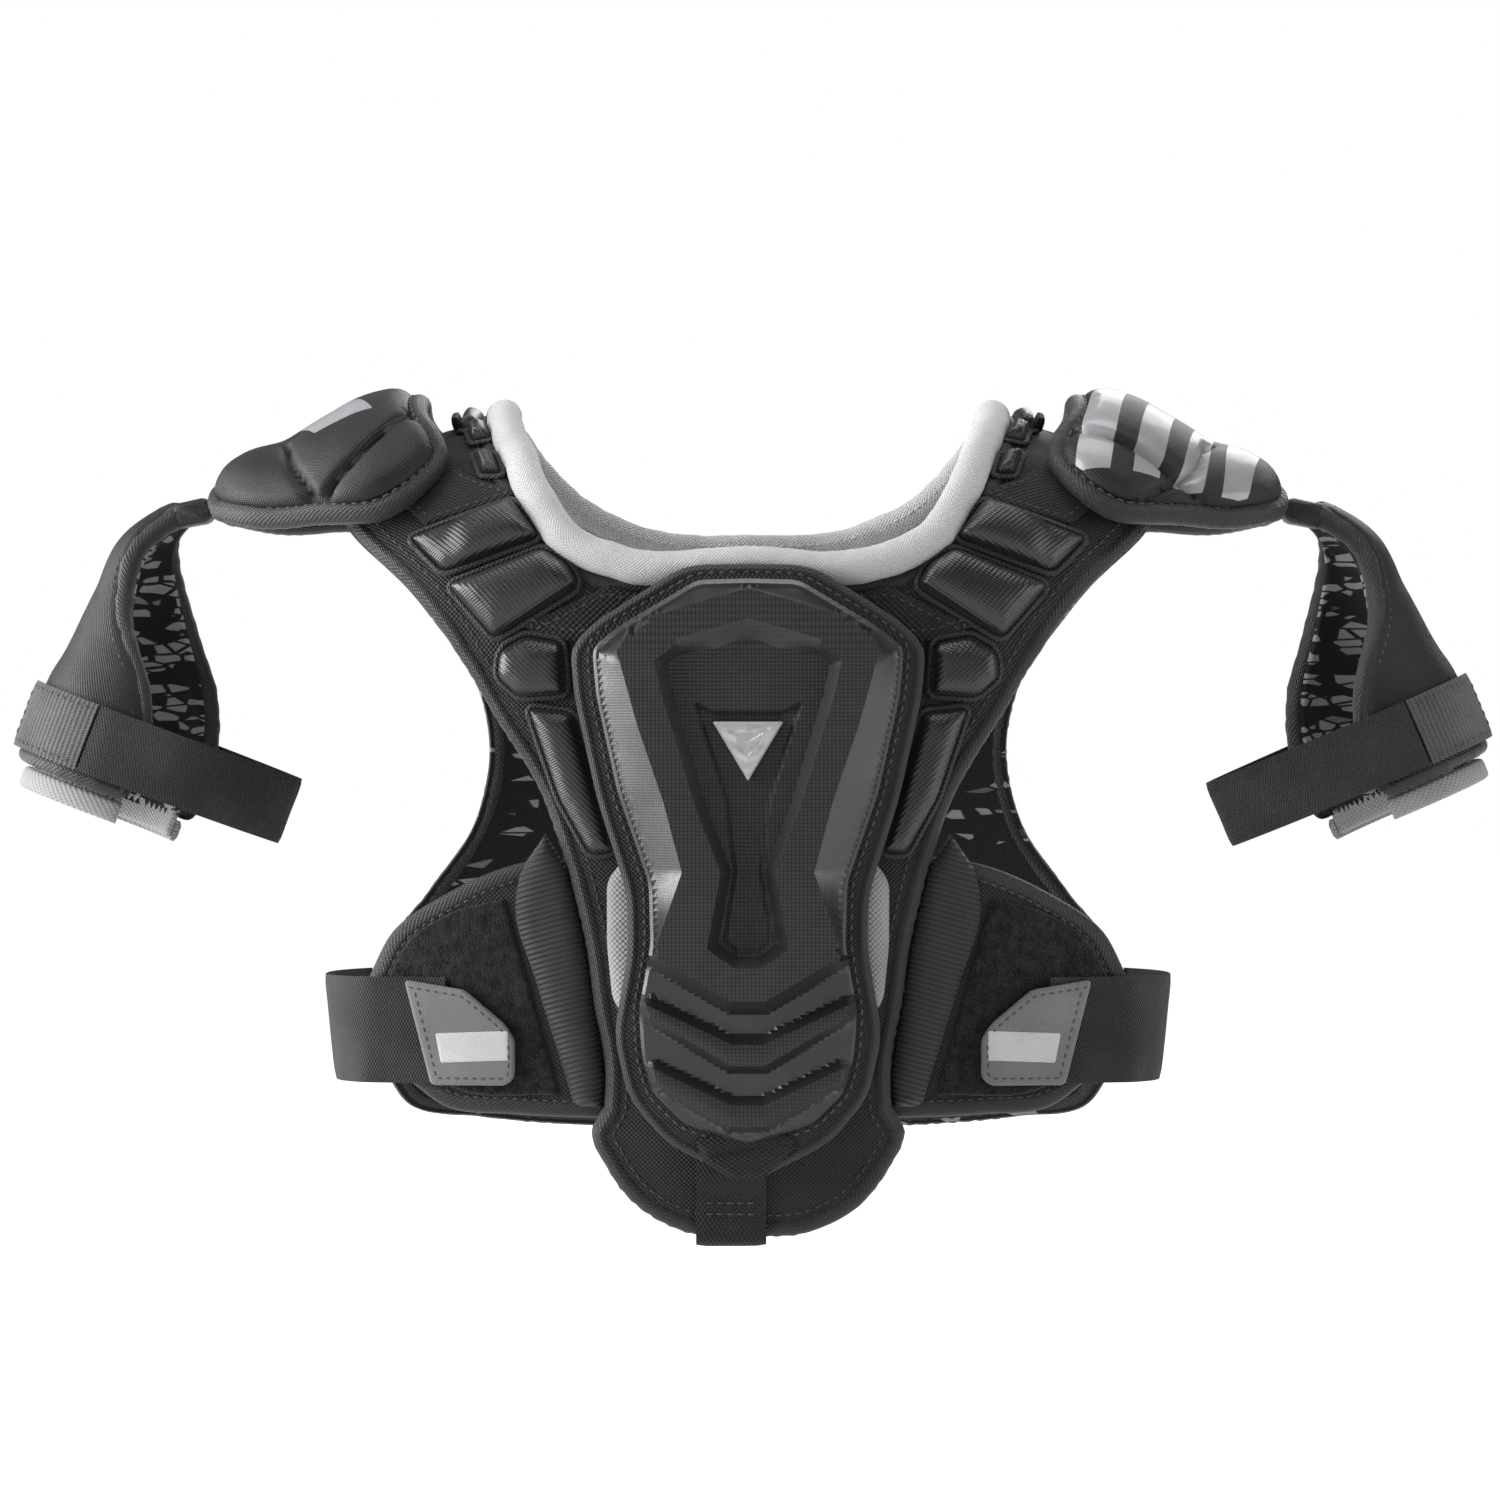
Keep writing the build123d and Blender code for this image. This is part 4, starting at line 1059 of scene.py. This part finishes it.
def make_inner_pads():
    """Pale chest pad under the guard, and the spine and blade pads of the back."""
    half = [(0, -57), (-27, -57), (-40, -78), (-44, -90), (-44, -150), (-50, -157), (-50, -180)]
    half += [(-48, -200), (-43, -206), (-43, -231), (-24, -243), (0, -246)]
    loop = rounded_patch(half_loop(half), 4, gap=2)
    chest = pad("chest_pad", loop, on_vest, RIB_LIFT, pillow(6.0, 5, 0.2, 0.3, 0.15, 3), PALE_FOAM, 3.0)
    place(chest, "vest", "pale_foam", "chest_pad", fill=0.9)
    half = [(0, -58), (-15, -62), (-19, -236), (0, -240)]
    loop = rounded_patch(half_loop(half), 6, gap=2)
    grooves = np.arange(-84, -236, -22.0)

    def spine(flat, edge):
        """Pad crossed by pressed channels."""
        z = SPRING_Z + ARCH_LENGTH - flat[:, 1]
        channel = sum(np.exp(-(((z - groove) / 1.8) ** 2)) for groove in grooves)
        return pillow(6.4, 5, 0.2, 2.0, 0.2, 2)(flat, edge) - 4.2 * np.clip(channel, 0, 1) * ease(edge / 3)

    made = pad("spine_pad", loop, on_vest, RIB_LIFT, spine, RIB_CLOTH, 1.8, (1, -1), 70)
    place(made, "vest", "rib_cloth", "spine_pad", fill=0.85)
    runs = ([(-24, -66), (-48, -52), (-82, -52), (-96, -62)], [(-96, -62), (-88, -104), (-62, -142)])
    runs += ([(-62, -142), (-40, -146), (-26, -132)], ((-26, -132), (-24, -66)))
    blade = unroll(round_corners(chain(*runs, gap=2.5), 1.0), RIB_LIFT)
    seam = unroll([(-92, -84), (-60, -88), (-25, -98)], RIB_LIFT)

    def quilted(flat, edge):
        groove = np.exp(-((edge_distance(flat, smooth(seam, 2), False) / 2) ** 2))
        return pillow(6.4, 6, 0.2, 2.4, 0.25, 19)(flat, edge) - 4 * groove * ease(edge / 3)

    for side, sign in SIDES:
        made = pad(f"{side}_blade_pad", blade, on_vest, RIB_LIFT, quilted, RIB_CLOTH, 2.2, (sign, -1), 70)
        place(made, "vest", "rib_cloth", f"{side}_blade_pad", fill=0.85)


# ---- sternum guard ----------------------------------------------------------------------------
def guard_pad_loop():
    """Flat loop of the guard's soft backing."""
    half = [(0, -45.5), (22, -46), (54, -65.5), (62.5, -74), (61, -92), (53, -128), (42.2, -162)]
    half += [(41.8, -182), (47, -212), (42, -234), (28.5, -250), (0, -264.5)]
    return unroll(round_corners(densify(round_corners(half_loop(half), 7), 2), 0.8), GUARD_LIFT)


def guard_shell_loop():
    """Flat loop of the guard's moulded shell."""
    half = [(0, -50.5), (18, -51), (46, -67.5), (55, -75), (53.5, -92), (46, -126), (35, -158)]
    half += [(34.4, -180), (38.5, -203), (37.5, -219), (34, -232), (23, -243), (0, -251)]
    return rounded_patch(half_loop(half), 3.5, RIM_LIFT, 1.2)


def guard_lines():
    """Flat loops of the moulded relief: raised frame, recess, its deeper floor, and the two chevrons."""
    frame_line = [(0, -55), (-30, -63.5), (-39, -66), (-45.5, -76), (-38.5, -102), (-29.5, -129)]
    frame_line += [(-23, -154), (-33, -183), (-6, -199), (0, -199)]
    recess = [(0, -65), (-25, -72), (-32.5, -79.5), (-30, -91.5), (-18, -132), (-9.5, -154)]
    recess += [(-14.3, -180.5), (-9.8, -184), (-4.5, -187.5), (0, -187.5)]
    floor = [(0, -97), (-12, -97), (-20, -93), (-8.5, -129), (-5.6, -154), (-9.2, -178.5)]
    floor += [(-4, -183.4), (0, -183.4)]
    chevrons = []
    for peak, rise, reach in ((-214.5, 14.0, 35.5), (-236.0, 13.0, 33.0)):
        low = peak - 7.5
        bar = [(0, peak), (-5.5, peak), (-reach, peak + rise), (1 - reach, low + rise + 3)]
        chevrons.append(bar + [(-6, low), (0, low)])
    return [unroll(half_loop(line), RIM_LIFT) for line in (frame_line, recess, floor, *chevrons)]


def make_guard():
    """Sternum guard: backing, moulded shell, badge, the fold at its foot and the strap under it."""
    body = "sternum_guard"
    loop = guard_pad_loop()
    backing = pad("guard_pad", loop, on_vest, GUARD_LIFT, pillow(4.0, 3, 0.5, 0, 0.12, 2), PANEL_CLOTH, 2.5)
    place(backing, body, "guard_cloth", "guard_pad", fill=0.6)
    tape = binding("guard_tape", offset_loop(loop, -1.6), on_vest, GUARD_LIFT, GUARD_TOP, 4.2, BINDING)
    place(tape, body, "binding_cloth")
    shell_loop = guard_shell_loop()
    seam = offset_loop(shell_loop, 1.9)
    path, normal = path_on(on_vest, seam, GUARD_TOP + 0.1)
    seam = stitches("guard_stitches", path, normal, THREAD, 2.6, 3.8, 0.8, closed=True)
    place(seam, body, "binding_cloth")

    frame_line, recess, floor, *chevrons = guard_lines()
    slope = 1 / math.tan(math.radians(WALL_DRAFT))
    frame_height = RIM_THICK + FRAME_RISE
    floor_height = RIM_THICK + FLOOR_RISE
    frame_foot = unroll([(0, -184.5)])[0, 1]

    def relief(flat, edge):
        """Height of the shell: rim, raised frame, facets and chevrons, and the sunk middle."""
        rim = RIM_THICK * (0.5 + 0.5 * ease(edge / 1.2))
        to_frame = signed(flat, frame_line)
        reach = np.clip(edge - 2.4, 0, None)
        facet = FRAME_RISE * reach / np.maximum(reach + np.maximum(-to_frame, 0), 1e-6)
        wall = frame_height + np.minimum(to_frame, 0) * slope
        height = np.maximum(rim, np.where(flat[:, 1] < frame_foot, rim + facet, wall))
        for bar in chevrons:
            to_bar = signed(flat, bar)
            lip = RIM_THICK + CHEVRON_RISE - 0.25 * np.clip(3 - to_bar, 0, 3)
            height = np.maximum(height, lip + np.minimum(to_bar, 0) * slope)
        to_recess = signed(flat, recess)
        sunk = np.maximum(floor_height, frame_height - np.maximum(to_recess, 0) * slope)
        sunk = np.maximum(sunk - np.clip(signed(flat, floor) * 1.2, 0, 2.2), 2.6)
        return np.where(to_recess > 0, np.minimum(height, sunk), height)

    sunk_line = offset_loop(recess, (floor_height - frame_height) / slope)
    creases = [densify(line, 1.0) for line in (floor, offset_loop(floor, -1.8))]
    finishes = [(frame_line, MOULDED_DOTS), (recess, MOULDED), (sunk_line, MOULDED_DOTS)]
    finishes += [(bar, MOULDED_DOTS) for bar in chevrons]
    regions = [(densify(line, 1.0), finish) for line, finish in finishes]
    shell = pad(
        "guard_shell", shell_loop, on_vest, RIM_LIFT, relief, MOULDED, 1.5, sharp=22,
        lines=creases, regions=regions,
    )  # fmt: skip
    place(shell, body, "moulded_foam", "guard_shell")

    badge = rounded_patch([(-12.5, -101), (12.5, -101), (0, -122)], 0.8, RIM_LIFT, 0.8)
    middle = badge.mean(axis=0)

    def ridged(flat, edge):
        """Plain plate with bent ridges inside a flat border."""
        down = flat[:, 1] - middle[1] + np.abs(flat[:, 0]) * 0.55
        ridges = 0.45 * (np.sin(down * 2 * math.pi / 4.6) > 0.1) * ease((edge - 1.4) / 0.4)
        return 3.2 + 0.5 * ease(edge / 0.6) + ridges

    made = pad("guard_badge", badge, on_vest, RIM_LIFT + 2.6, ridged, SILVER, 0.55, sharp=35)
    place(made, body, "badge_silver", "guard_badge")

    fold = [(-19, -249), (-4, -246.5), (15, -247.5), (18, -251), (4, -263.5), (-6, -263), (-16, -257)]
    fold = rounded_patch(fold, 2, GUARD_TOP, 1.2)
    crease_line = smooth(unroll([(-17, -256), (2, -252), (16, -250.5)]), 1.5)

    def folded(flat, edge):
        """Soft fold of cloth with a crease along it."""
        crease = np.exp(-((edge_distance(flat, crease_line, False) / 1.1) ** 2))
        return 1.2 + 1.3 * ease(edge / 2.5) - 1.3 * crease

    made = pad("guard_fold", fold, on_vest, GUARD_TOP - 0.2, folded, WEBBING, 1.3, sharp=60)
    place(made, body, "guard_cloth", fill=0.2)

    back = GUARD_LIFT - 0.3 - WEB_THICK / 2
    face_lift = PANEL_TOP + 0.3 + WEB_THICK / 2
    under = 286.7  # the strap turns under the hem at this depth
    spots = [(back, 249), (back, 257), (back - 0.8, 263), (face_lift + 1.1, 270), (face_lift + 0.3, 276)]
    spots += [(face_lift + 0.3, 281), (face_lift, under - 2), (face_lift - 2.4, under)]
    spots.append((PANEL_LIFT + 1, under))
    line = np.array([(0, -leg_depth(0, -down, lift), -down) for lift, down in spots])
    line = smooth(line, 1.2)
    edges = [line + (-18.5, 0, 0), line + (6.5, 0, 0)]
    place(ribbon("guard_foot", edges, WEB_THICK, WEBBING, wave=0.15), body, "black_webbing", "guard_foot")
    for index, shift in enumerate((0, 4)):
        row = smooth(np.column_stack([np.linspace(-16.5, 4.5, 8), np.zeros(8)]), 1.5)
        z = -272.0 - shift
        path = np.column_stack([row[:, 0], -leg_depth(row[:, 0], z, face_lift + 2.0), np.full(len(row), z)])
        way = np.tile([(0.0, -1.0, 0.0)], (len(row), 1))
        place(stitches(f"guard_foot_stitches_{index + 1}", path, way, THREAD), body, "black_webbing")


# ---- side belts -------------------------------------------------------------------------------
def make_belts():
    """Side belts with their tabs and labels, and the anchors that they swing on behind."""
    top, bottom = -192.0, -230.0
    widest = 153.0  # how far out the belt's upper edge swings round the wearer's side
    belt_end = (-140.2, 60.9)
    fold_at = (-139.2, 61.6)
    edges = []
    for z, lean in ((bottom, 4.0), (top, 0.0)):
        middle = BELT_LIFT + WEB_THICK / 2
        line = [(-x, -float(leg_depth(x, z, middle)), z) for x in (108, 118, 128, 137)]
        out = widest - lean
        line += [(6 - out, -45, z), (0.8 - out, -26, z), (-out, 0, z), (2.5 - out, 28, z)]
        line += [(8 - out, 48, z), (*belt_end, z)]
        edges.append(smooth(np.array(line, float), 2.0))
    count = min(len(edges[0]), len(edges[1]))
    edges = [edge[np.linspace(0, len(edge) - 1, count).astype(int)] for edge in edges]
    tab = [(-122.5, -193), (-101, -196.5), (-86.5, -208.5), (-83, -214), (-83, -227.5)]
    tab += [(-86, -230.5), (-113, -230.5)]
    tab = rounded_patch(tab, 2.0, BELT_TAB_LIFT, 1.2)
    hook = [(-105.5, -198), (-101.5, -199), (-88, -210), (-86, -215), (-86, -227), (-105.5, -227)]
    hook = rounded_patch(hook, 1.5, BELT_LIFT)
    label = [(-111.5, -212), (-85.5, -211), (-85.3, -221.5), (-109.5, -222.5)]
    label = rounded_patch(label, 0.8, BELT_TAB_LIFT, 1.0)
    tab_top = BELT_TAB_LIFT + WEB_THICK
    for side, sign in SIDES:
        flip, body = (sign, 1), f"{side}_side_belt"
        made = ribbon(f"{side}_belt", edges, WEB_THICK, ELASTIC, flip, 12, 0.22, 5)
        place(made, body, "black_elastic", f"{side}_belt")
        made = pad(f"{side}_belt_tab", tab, on_vest, BELT_TAB_LIFT, level(WEB_THICK), TAB_CLOTH, 2.0, flip)
        place(made, body, "black_webbing", f"{side}_belt_tab")
        seam = f"{side}_belt_tab_stitches"
        trimmed_edge(seam, tab, on_vest, tab_top, body, "black_webbing", flip, 2.4, pitch=3.2)
        plain = pad(f"{side}_belt_label", label, on_vest, tab_top - 0.1, level(0.5), LABEL, 2.0, flip)
        place(plain, body, "badge_silver")
        under = pad(f"{side}_belt_hook", hook, on_vest, BELT_LIFT, level(WEB_THICK), PILE, 2.0, flip)
        place(under, body, "hook_webbing", f"{side}_belt_hook")
        rows = np.linspace(-193, -229, 20)
        anchor = []
        for x in (-137.0, -112.0):
            depth = leg_depth(x, rows, RIB_LIFT + WEB_THICK / 2)
            anchor.append(np.column_stack([np.full_like(rows, x), depth, rows]))
        made = ribbon(f"{side}_belt_anchor", anchor[::-1], WEB_THICK, WEBBING, flip)
        place(made, "vest", "black_webbing", f"{side}_belt_anchor")
        turned = np.array([(*fold_at, z) for z in rows])
        facing = np.tile([(0.0, 1.0, 0.0)], (len(rows), 1))
        made = sweep(f"{side}_belt_fold", turned, facing, ellipse(5.6, 4.4, 16), WEBBING, False, flip)
        place(made, "vest", "black_webbing")


# ---- shoulder caps ----------------------------------------------------------------------------
def cap_loop(inset):
    """Flat loop of a cap's edge, front and back alike."""
    neck, foot, end = 107.5 + inset, -28 + inset, 195.5 - inset
    inner = [(neck + 7, 13), (neck + 2, 5), (neck, -2), (112 + inset, -9.5)]
    inner += [(126 + inset, foot + 2), (160, foot)]
    lower = [(160, foot), (end - 14, foot + 0.5), (end - 3, -24 + inset), (end, -17.5 + inset * 0.4)]
    inner = np.concatenate([[(neck + 8.6, 0.0)], unroll_cap(inner)])
    lower = np.concatenate([unroll_cap(lower), [(end + 0.3, 0.0)]])
    half = np.concatenate([smooth(inner, 2)[:-1], smooth(lower, 2)])
    return np.concatenate([half, half[1:-1][::-1] * (1, -1)])


def make_cap(side, sign, seams, patches):
    """Shoulder cap: moulded base, quilted pad, rolled rim and its stitches."""
    body, flip = f"{side}_cap", (sign, 1)
    name, loop = f"{side}_cap_base", cap_loop(3.0)
    base = pad(name, loop, on_cap, -CAP_DEPTH, level(3.0), CAP_CLOTH, 3.2, flip, outward=-1)
    place(base, body, "cap_cloth", name)
    lines = [smooth(unroll_cap(np.array(seam, float)), 1.0) for seam in seams]
    lines += [line * (1, -1) for line in lines]

    def quilted(flat, edge):
        height = pillow(CAP_PAD - 1.2, 7, 0.35, 1.8, 0.1, 8)(flat, edge)
        for line in lines:
            near = edge_distance(flat, line, False)
            height = height - 3.4 * np.exp(-((near / 1.6) ** 2)) - 0.9 * np.exp(-((near / 5.5) ** 2))
        return np.maximum(height, 2.5)

    loop = cap_loop(6.0)
    made = pad(
        f"{side}_cap_pad", loop, on_cap, -CAP_PAD, quilted, CAP_CLOTH, 1.7, flip, 80,
        outward=-1, regions=patches,
    )  # fmt: skip
    place(made, body, "cap_cloth", f"{side}_cap_pad", fill=0.9)
    rim = cap_loop(3.8)
    path, normal = path_on(on_cap, rim, -7.6)
    run = along(path)
    swell = 1 + 0.03 * ripple(rim, 20, 3) + 0.025 * np.sin(run * 2 * math.pi / 4.5)
    section = soft_bar(8.2, 8.4, 0.5) - (0, 4.2)
    made = sweep(f"{side}_cap_rim", path, -normal, section, BINDING, True, flip, swell)
    place(made, body, "binding_cloth")
    path, normal = path_on(on_cap, cap_loop(6.0), -3.95)
    made = stitches(f"{side}_cap_stitches", path, -normal, THREAD, 2.8, 4.0, 0.8, flip, True)
    place(made, body, "binding_cloth")
    for index, line in enumerate(lines):
        path, normal = path_on(on_cap, line, -CAP_PAD + 3.4)
        made = stitches(f"{side}_cap_seam_{index + 1}", path, -normal, THREAD, 1.8, 2.8, 0.5, flip)
        place(made, body, "cap_cloth")


def slanted(x0, x1, d0, d1, slant):
    """Parallelogram on a cap's flat pattern."""
    corners = [(x0, d0), (x1, d0), (x1 - slant, d1), (x0 - slant, d1)]
    return densify(np.array(corners, float), 1.2)


def make_caps():
    """The two caps: one has a single grey patch, and the other has slanted stripes all the way across."""
    right = [[(118, 15), (136, -3), (148, -18), (150, -22)]]
    right.append([(164, 0.5), (161.5, -6.5), (154, -18), (152, -22)])
    left = [[(117.7, 6), (134, -0.4), (148, -11), (163, -22)], [(163, 0.7), (154, -12), (137.5, -22)]]
    make_cap("right", 1, right, [(slanted(141, 160, 4, 34, 8), REFLECTIVE)])
    loop = cap_loop(7.2)
    stripes = []
    for first, last in ((126, 136), (143, 152), (159, 167.5), (174.5, 184)):
        band = slanted(first + 8, last + 8, -70, 70, 16)
        stripes.append((band[inside(band, loop)], REFLECTIVE))
    make_cap("left", -1, left, stripes)


# ---- arm guards -------------------------------------------------------------------------------
ARM_DEGREE = 0.55  # millimetres of pattern for each degree round the arm


def arm_surface(side):
    """Surface of an arm guard from (pattern width, distance down the axis)."""
    return lambda flat, lift: on_arm(flat / (ARM_DEGREE, 1), lift, side)


def arm_loop(top, low, inset=0.0):
    """Flat loop of the gutter between two distances down the axis."""
    at = np.arange(top, low + 0.1, 2.0)
    rows = curve_values(ARM_STATIONS, at)
    front = np.column_stack([rows[:, 3] * ARM_DEGREE, at])
    back = np.column_stack([-rows[:, 4] * ARM_DEGREE, at])
    across_top = smooth([back[0], front[0]], 2.0)[1:-1]
    across_low = smooth([front[-1], back[-1]], 2.0)[1:-1]
    loop = np.concatenate([across_top, front, across_low, back[::-1]])
    return offset_loop(loop, -inset) if inset else loop


def around(angle, radius, s):
    """Point round the straight part of the arm guard, on its own axis."""
    turn = np.radians(180 + np.asarray(angle, float))
    x = -ARM_CENTRE + radius * np.cos(turn)
    return np.column_stack([x, radius * np.sin(turn), np.full_like(x, -s)])


def make_arm(side, sign):
    """Arm guard: quilted gutter, its lining and flap, the elastic strap, the hook tab and its patch."""
    body, flip, surface = f"{side}_arm", (sign, 1), arm_surface(side)
    loop, soft = arm_loop(1.5, 108.0, 0.6), pillow(6.6, 6, 0.4, 0.8, 0.25, 27)
    made = pad(f"{side}_arm_pad", loop, surface, -7, soft, CAP_CLOTH, 2.4, flip, 70)
    place(made, body, "arm_cloth", f"{side}_arm_pad", fill=0.85)
    rim = arm_loop(1.5, 108.0, 2.6)
    path, normal = path_on(surface, rim, -4.0)
    swell = 1 + 0.11 * ripple(rim, 14, 6) + 0.04 * np.sin(np.arange(len(rim)) * 1.9)
    section = soft_bar(6.4, 7.4, 0.5) - (0, 3.7)
    made = sweep(f"{side}_arm_rim", path, normal, section, BINDING, True, flip, swell)
    place(made, body, "binding_cloth")
    loop = arm_loop(8, 106.0)
    trimmed_edge(f"{side}_arm_stitches", loop, surface, -0.1, body, "arm_cloth", flip, 6.5)

    hem = 107 * MM  # the lining is plain knit below this depth
    name = f"{side}_arm_lining"
    loop, soft = arm_loop(2.0, 116.0, 0.4), pillow(2.2, 2, 0.5, 0.2, 0.2, 28)
    made = pad(name, loop, surface, -7.3, soft, PRINTED, 3.0, flip, 70, outward=-1)
    made.data.materials.append(GREY_KNIT)
    pattern = made.data.uv_layers[0].uv
    for face in made.data.polygons:
        face.material_index = int(pattern[face.loop_start].vector.y > hem)
    place(made, body, "printed_lining", name, fill=0.4)
    rows = np.linspace(-10.5, 10.5, 16)
    hinge = lean_arm(np.column_stack([np.zeros(16), rows, np.zeros(16)]), side)
    facing = np.tile([(0.0, 0.0, 1.0)], (16, 1))
    swell = np.sqrt(np.clip(1 - (np.abs(rows) / 11.5) ** 6, 0.1, 1))
    turns = np.linspace(-math.pi, math.pi, 24, endpoint=False)
    reach = (np.cos(turns) < 0) * 1.0
    fold = np.stack([4.8 * np.cos(turns) - 7.5 * reach, 4.8 * np.sin(turns) - 1.8 * reach], axis=1)
    made = sweep(f"{side}_arm_hinge_roll", hinge, facing, fold, CAP_CLOTH, False, flip, swell)
    place(made, body, "printed_lining")
    loop, soft = arm_loop(109.0, 117.0, 0.2), pillow(2.9, 2, 0.5, 0.2, 0.2, 29)
    made = pad(f"{side}_arm_flap", loop, surface, -7, soft, GREY_KNIT, 2.4, flip, 70)
    place(made, body, "grey_cloth", f"{side}_arm_flap", fill=0.5)

    strap_at, half_strap = 91, 12.5  # distance of the strap down the arm, and half its width
    top, low = strap_at - half_strap, strap_at + half_strap
    seat = ARM_RADIUS + 0.6 + WEB_THICK / 2
    band = ARM_RADIUS + 1.5 + 0.3 + WEB_THICK / 2
    start = 73.6  # degrees round the arm where the strap leaves the hook tab
    tip = -ARM_CENTRE + 64
    turn = [(tip - 24, -27), (tip - 7, -14), (tip, -3), (tip - 7, 9), (tip - 22, 19)]
    edges = []
    for s in (low, top):
        under_tab = ((start, band), (start + 6, band), (start + 18, seat))
        wrap = [around([angle], radius, s)[0] for angle, radius in under_tab]
        loose = [np.array((x, y, -s)) for x, y in turn]
        back = [around([-angle], seat, s)[0] for angle in (132, 112, 92)]
        edges.append(lean_arm(smooth(np.array(wrap + loose + back), 2.0), side))
    made = ribbon(f"{side}_arm_strap", edges, WEB_THICK, ELASTIC, flip, 12, 0.25, 15)
    place(made, body, "black_elastic", f"{side}_arm_strap")

    angles = np.linspace(72.0, 12.0, 34)
    edges = [lean_arm(around(angles, band, s), side) for s in (low, top)]
    hook_body = f"{side}_arm_hook"
    made = ribbon(f"{side}_arm_tab", edges, WEB_THICK, HOOK_CLOTH, flip, 12, 0.1, 16)
    place(made, hook_body, "hook_webbing", f"{side}_arm_tab")
    first, last = top + 2.2, low - 2.2
    seams = [[(angle, s) for angle in np.linspace(70, 14, 30)] for s in (first, last)]
    seams.append([(14.5, s) for s in np.linspace(first, last, 16)])
    for index, seam in enumerate(seams):
        on_tab, inner = (
            lean_arm(np.concatenate([around([angle], radius, s) for angle, s in seam]), side)
            for radius in (band + WEB_THICK / 2 + 0.1, band * 0.5)
        )
        name = f"{side}_arm_tab_stitches_{index + 1}"
        place(stitches(name, on_tab, on_tab - inner, THREAD, flip=flip), hook_body, "hook_webbing")

    angles = np.linspace(82.0, -8.0, 40)
    patch = ARM_RADIUS + 0.3 + 0.6
    edges = [lean_arm(around(angles, patch, s), side) for s in (low - 1, top + 1)]
    made = ribbon(f"{side}_arm_patch", edges, 1.2, PILE, flip, 12, 0.1, 17)
    place(made, body, "loop_pile", f"{side}_arm_patch")


# ---- studio -----------------------------------------------------------------------------------
def floor_material(name, value, rough, glow):
    """Pale floor that carries a little light of its own, so that it stays as bright as the studio."""
    made, tree, shader = finish_material(name, rough)
    shader.inputs["Emission Color"].default_value = (1.0, 1.0, 1.0, 1)
    shader.inputs["Emission Strength"].default_value = glow
    uneven = use_group(tree, MOTTLE, Scale=2.0, Fine=30.0)
    paint(tree, shader, uneven.outputs[0], value, value * 1.03)
    return made


def soft_light(name, place_at, size, power):
    """Oblong panel of light, turned towards the middle of the set."""
    light = bpy.data.lights.new(name, "AREA")
    light.shape = "RECTANGLE"
    light.size, light.size_y = size
    light.energy = power
    lamp = bpy.data.objects.new(name, light)
    lamp.location = place_at
    way = np.array((0, 0, -0.12)) - np.array(place_at)
    lamp.rotation_euler = Vector(way).to_track_quat("-Z", "Y").to_euler()
    bpy.context.scene.collection.objects.link(lamp)


def make_studio():
    """Pale floor and air, soft panels of light, and a camera straight in front."""
    z = CAD_BOX[0][2] - 0.002
    reach = 12.0  # metres from the middle of the floor to its edge
    corners = [(-reach, -reach, z), (reach, -reach, z), (reach, reach, z), (-reach, reach, z)]
    mesh = bpy.data.meshes.new("studio_floor")
    mesh.from_pydata(corners, [], [(0, 1, 2, 3)])
    mesh.materials.append(floor_material("pale floor", 0.3, 0.9, 0.96))
    floor = bpy.data.objects.new("studio_floor", mesh)
    bpy.context.scene.collection.objects.link(floor)

    world = bpy.data.worlds.new("studio")
    world.use_nodes = True
    tree = world.node_tree
    sky = tree.nodes["Background"]
    sky.inputs[0].default_value = (1.0, 1.0, 1.0, 1)
    path = tree.nodes.new("ShaderNodeLightPath")
    tree.links.new(spread(tree, path.outputs["Is Camera Ray"], 0, 1, 0.13, 1.0), sky.inputs[1])
    bpy.context.scene.world = world
    bpy.context.scene.view_settings.view_transform = "Standard"
    soft_light("left panel", (-1.45, -0.1, 0.2), (1.7, 1.2), 74)
    soft_light("right panel", (1.45, -0.45, 0.15), (0.9, 1.2), 12)
    soft_light("top", (0.0, -0.15, 1.25), (1.5, 0.8), 18)
    soft_light("front", (-0.7, -2.3, 0.8), (0.8, 0.8), 5)
    soft_light("back", (0.5, 1.6, 0.9), (1.0, 1.0), 14)

    camera = bpy.data.cameras.new("camera")
    camera.sensor_width = 36
    distance = 2.95  # far enough for an almost flat view
    seen_width = 0.54  # metres across the picture at the set's middle
    camera.lens = camera.sensor_width * distance / seen_width
    seen = bpy.data.objects.new("camera", camera)
    seen.location = (0.0007, -distance - 0.04, -0.111)
    seen.rotation_euler = (math.pi / 2, 0, 0)
    bpy.context.scene.collection.objects.link(seen)
    bpy.context.scene.camera = seen


make_liner("front", front_loop(), (1, 1), SPARSE_PRINT)
make_liner("back", back_loop(), (1, -1), SPARSE_PRINT)
make_neck()
make_wings()
make_ribs()
make_straps()
make_inner_pads()
make_guard()
make_belts()
make_caps()
for arm_side, arm_sign in SIDES:
    make_arm(arm_side, arm_sign)
make_studio()
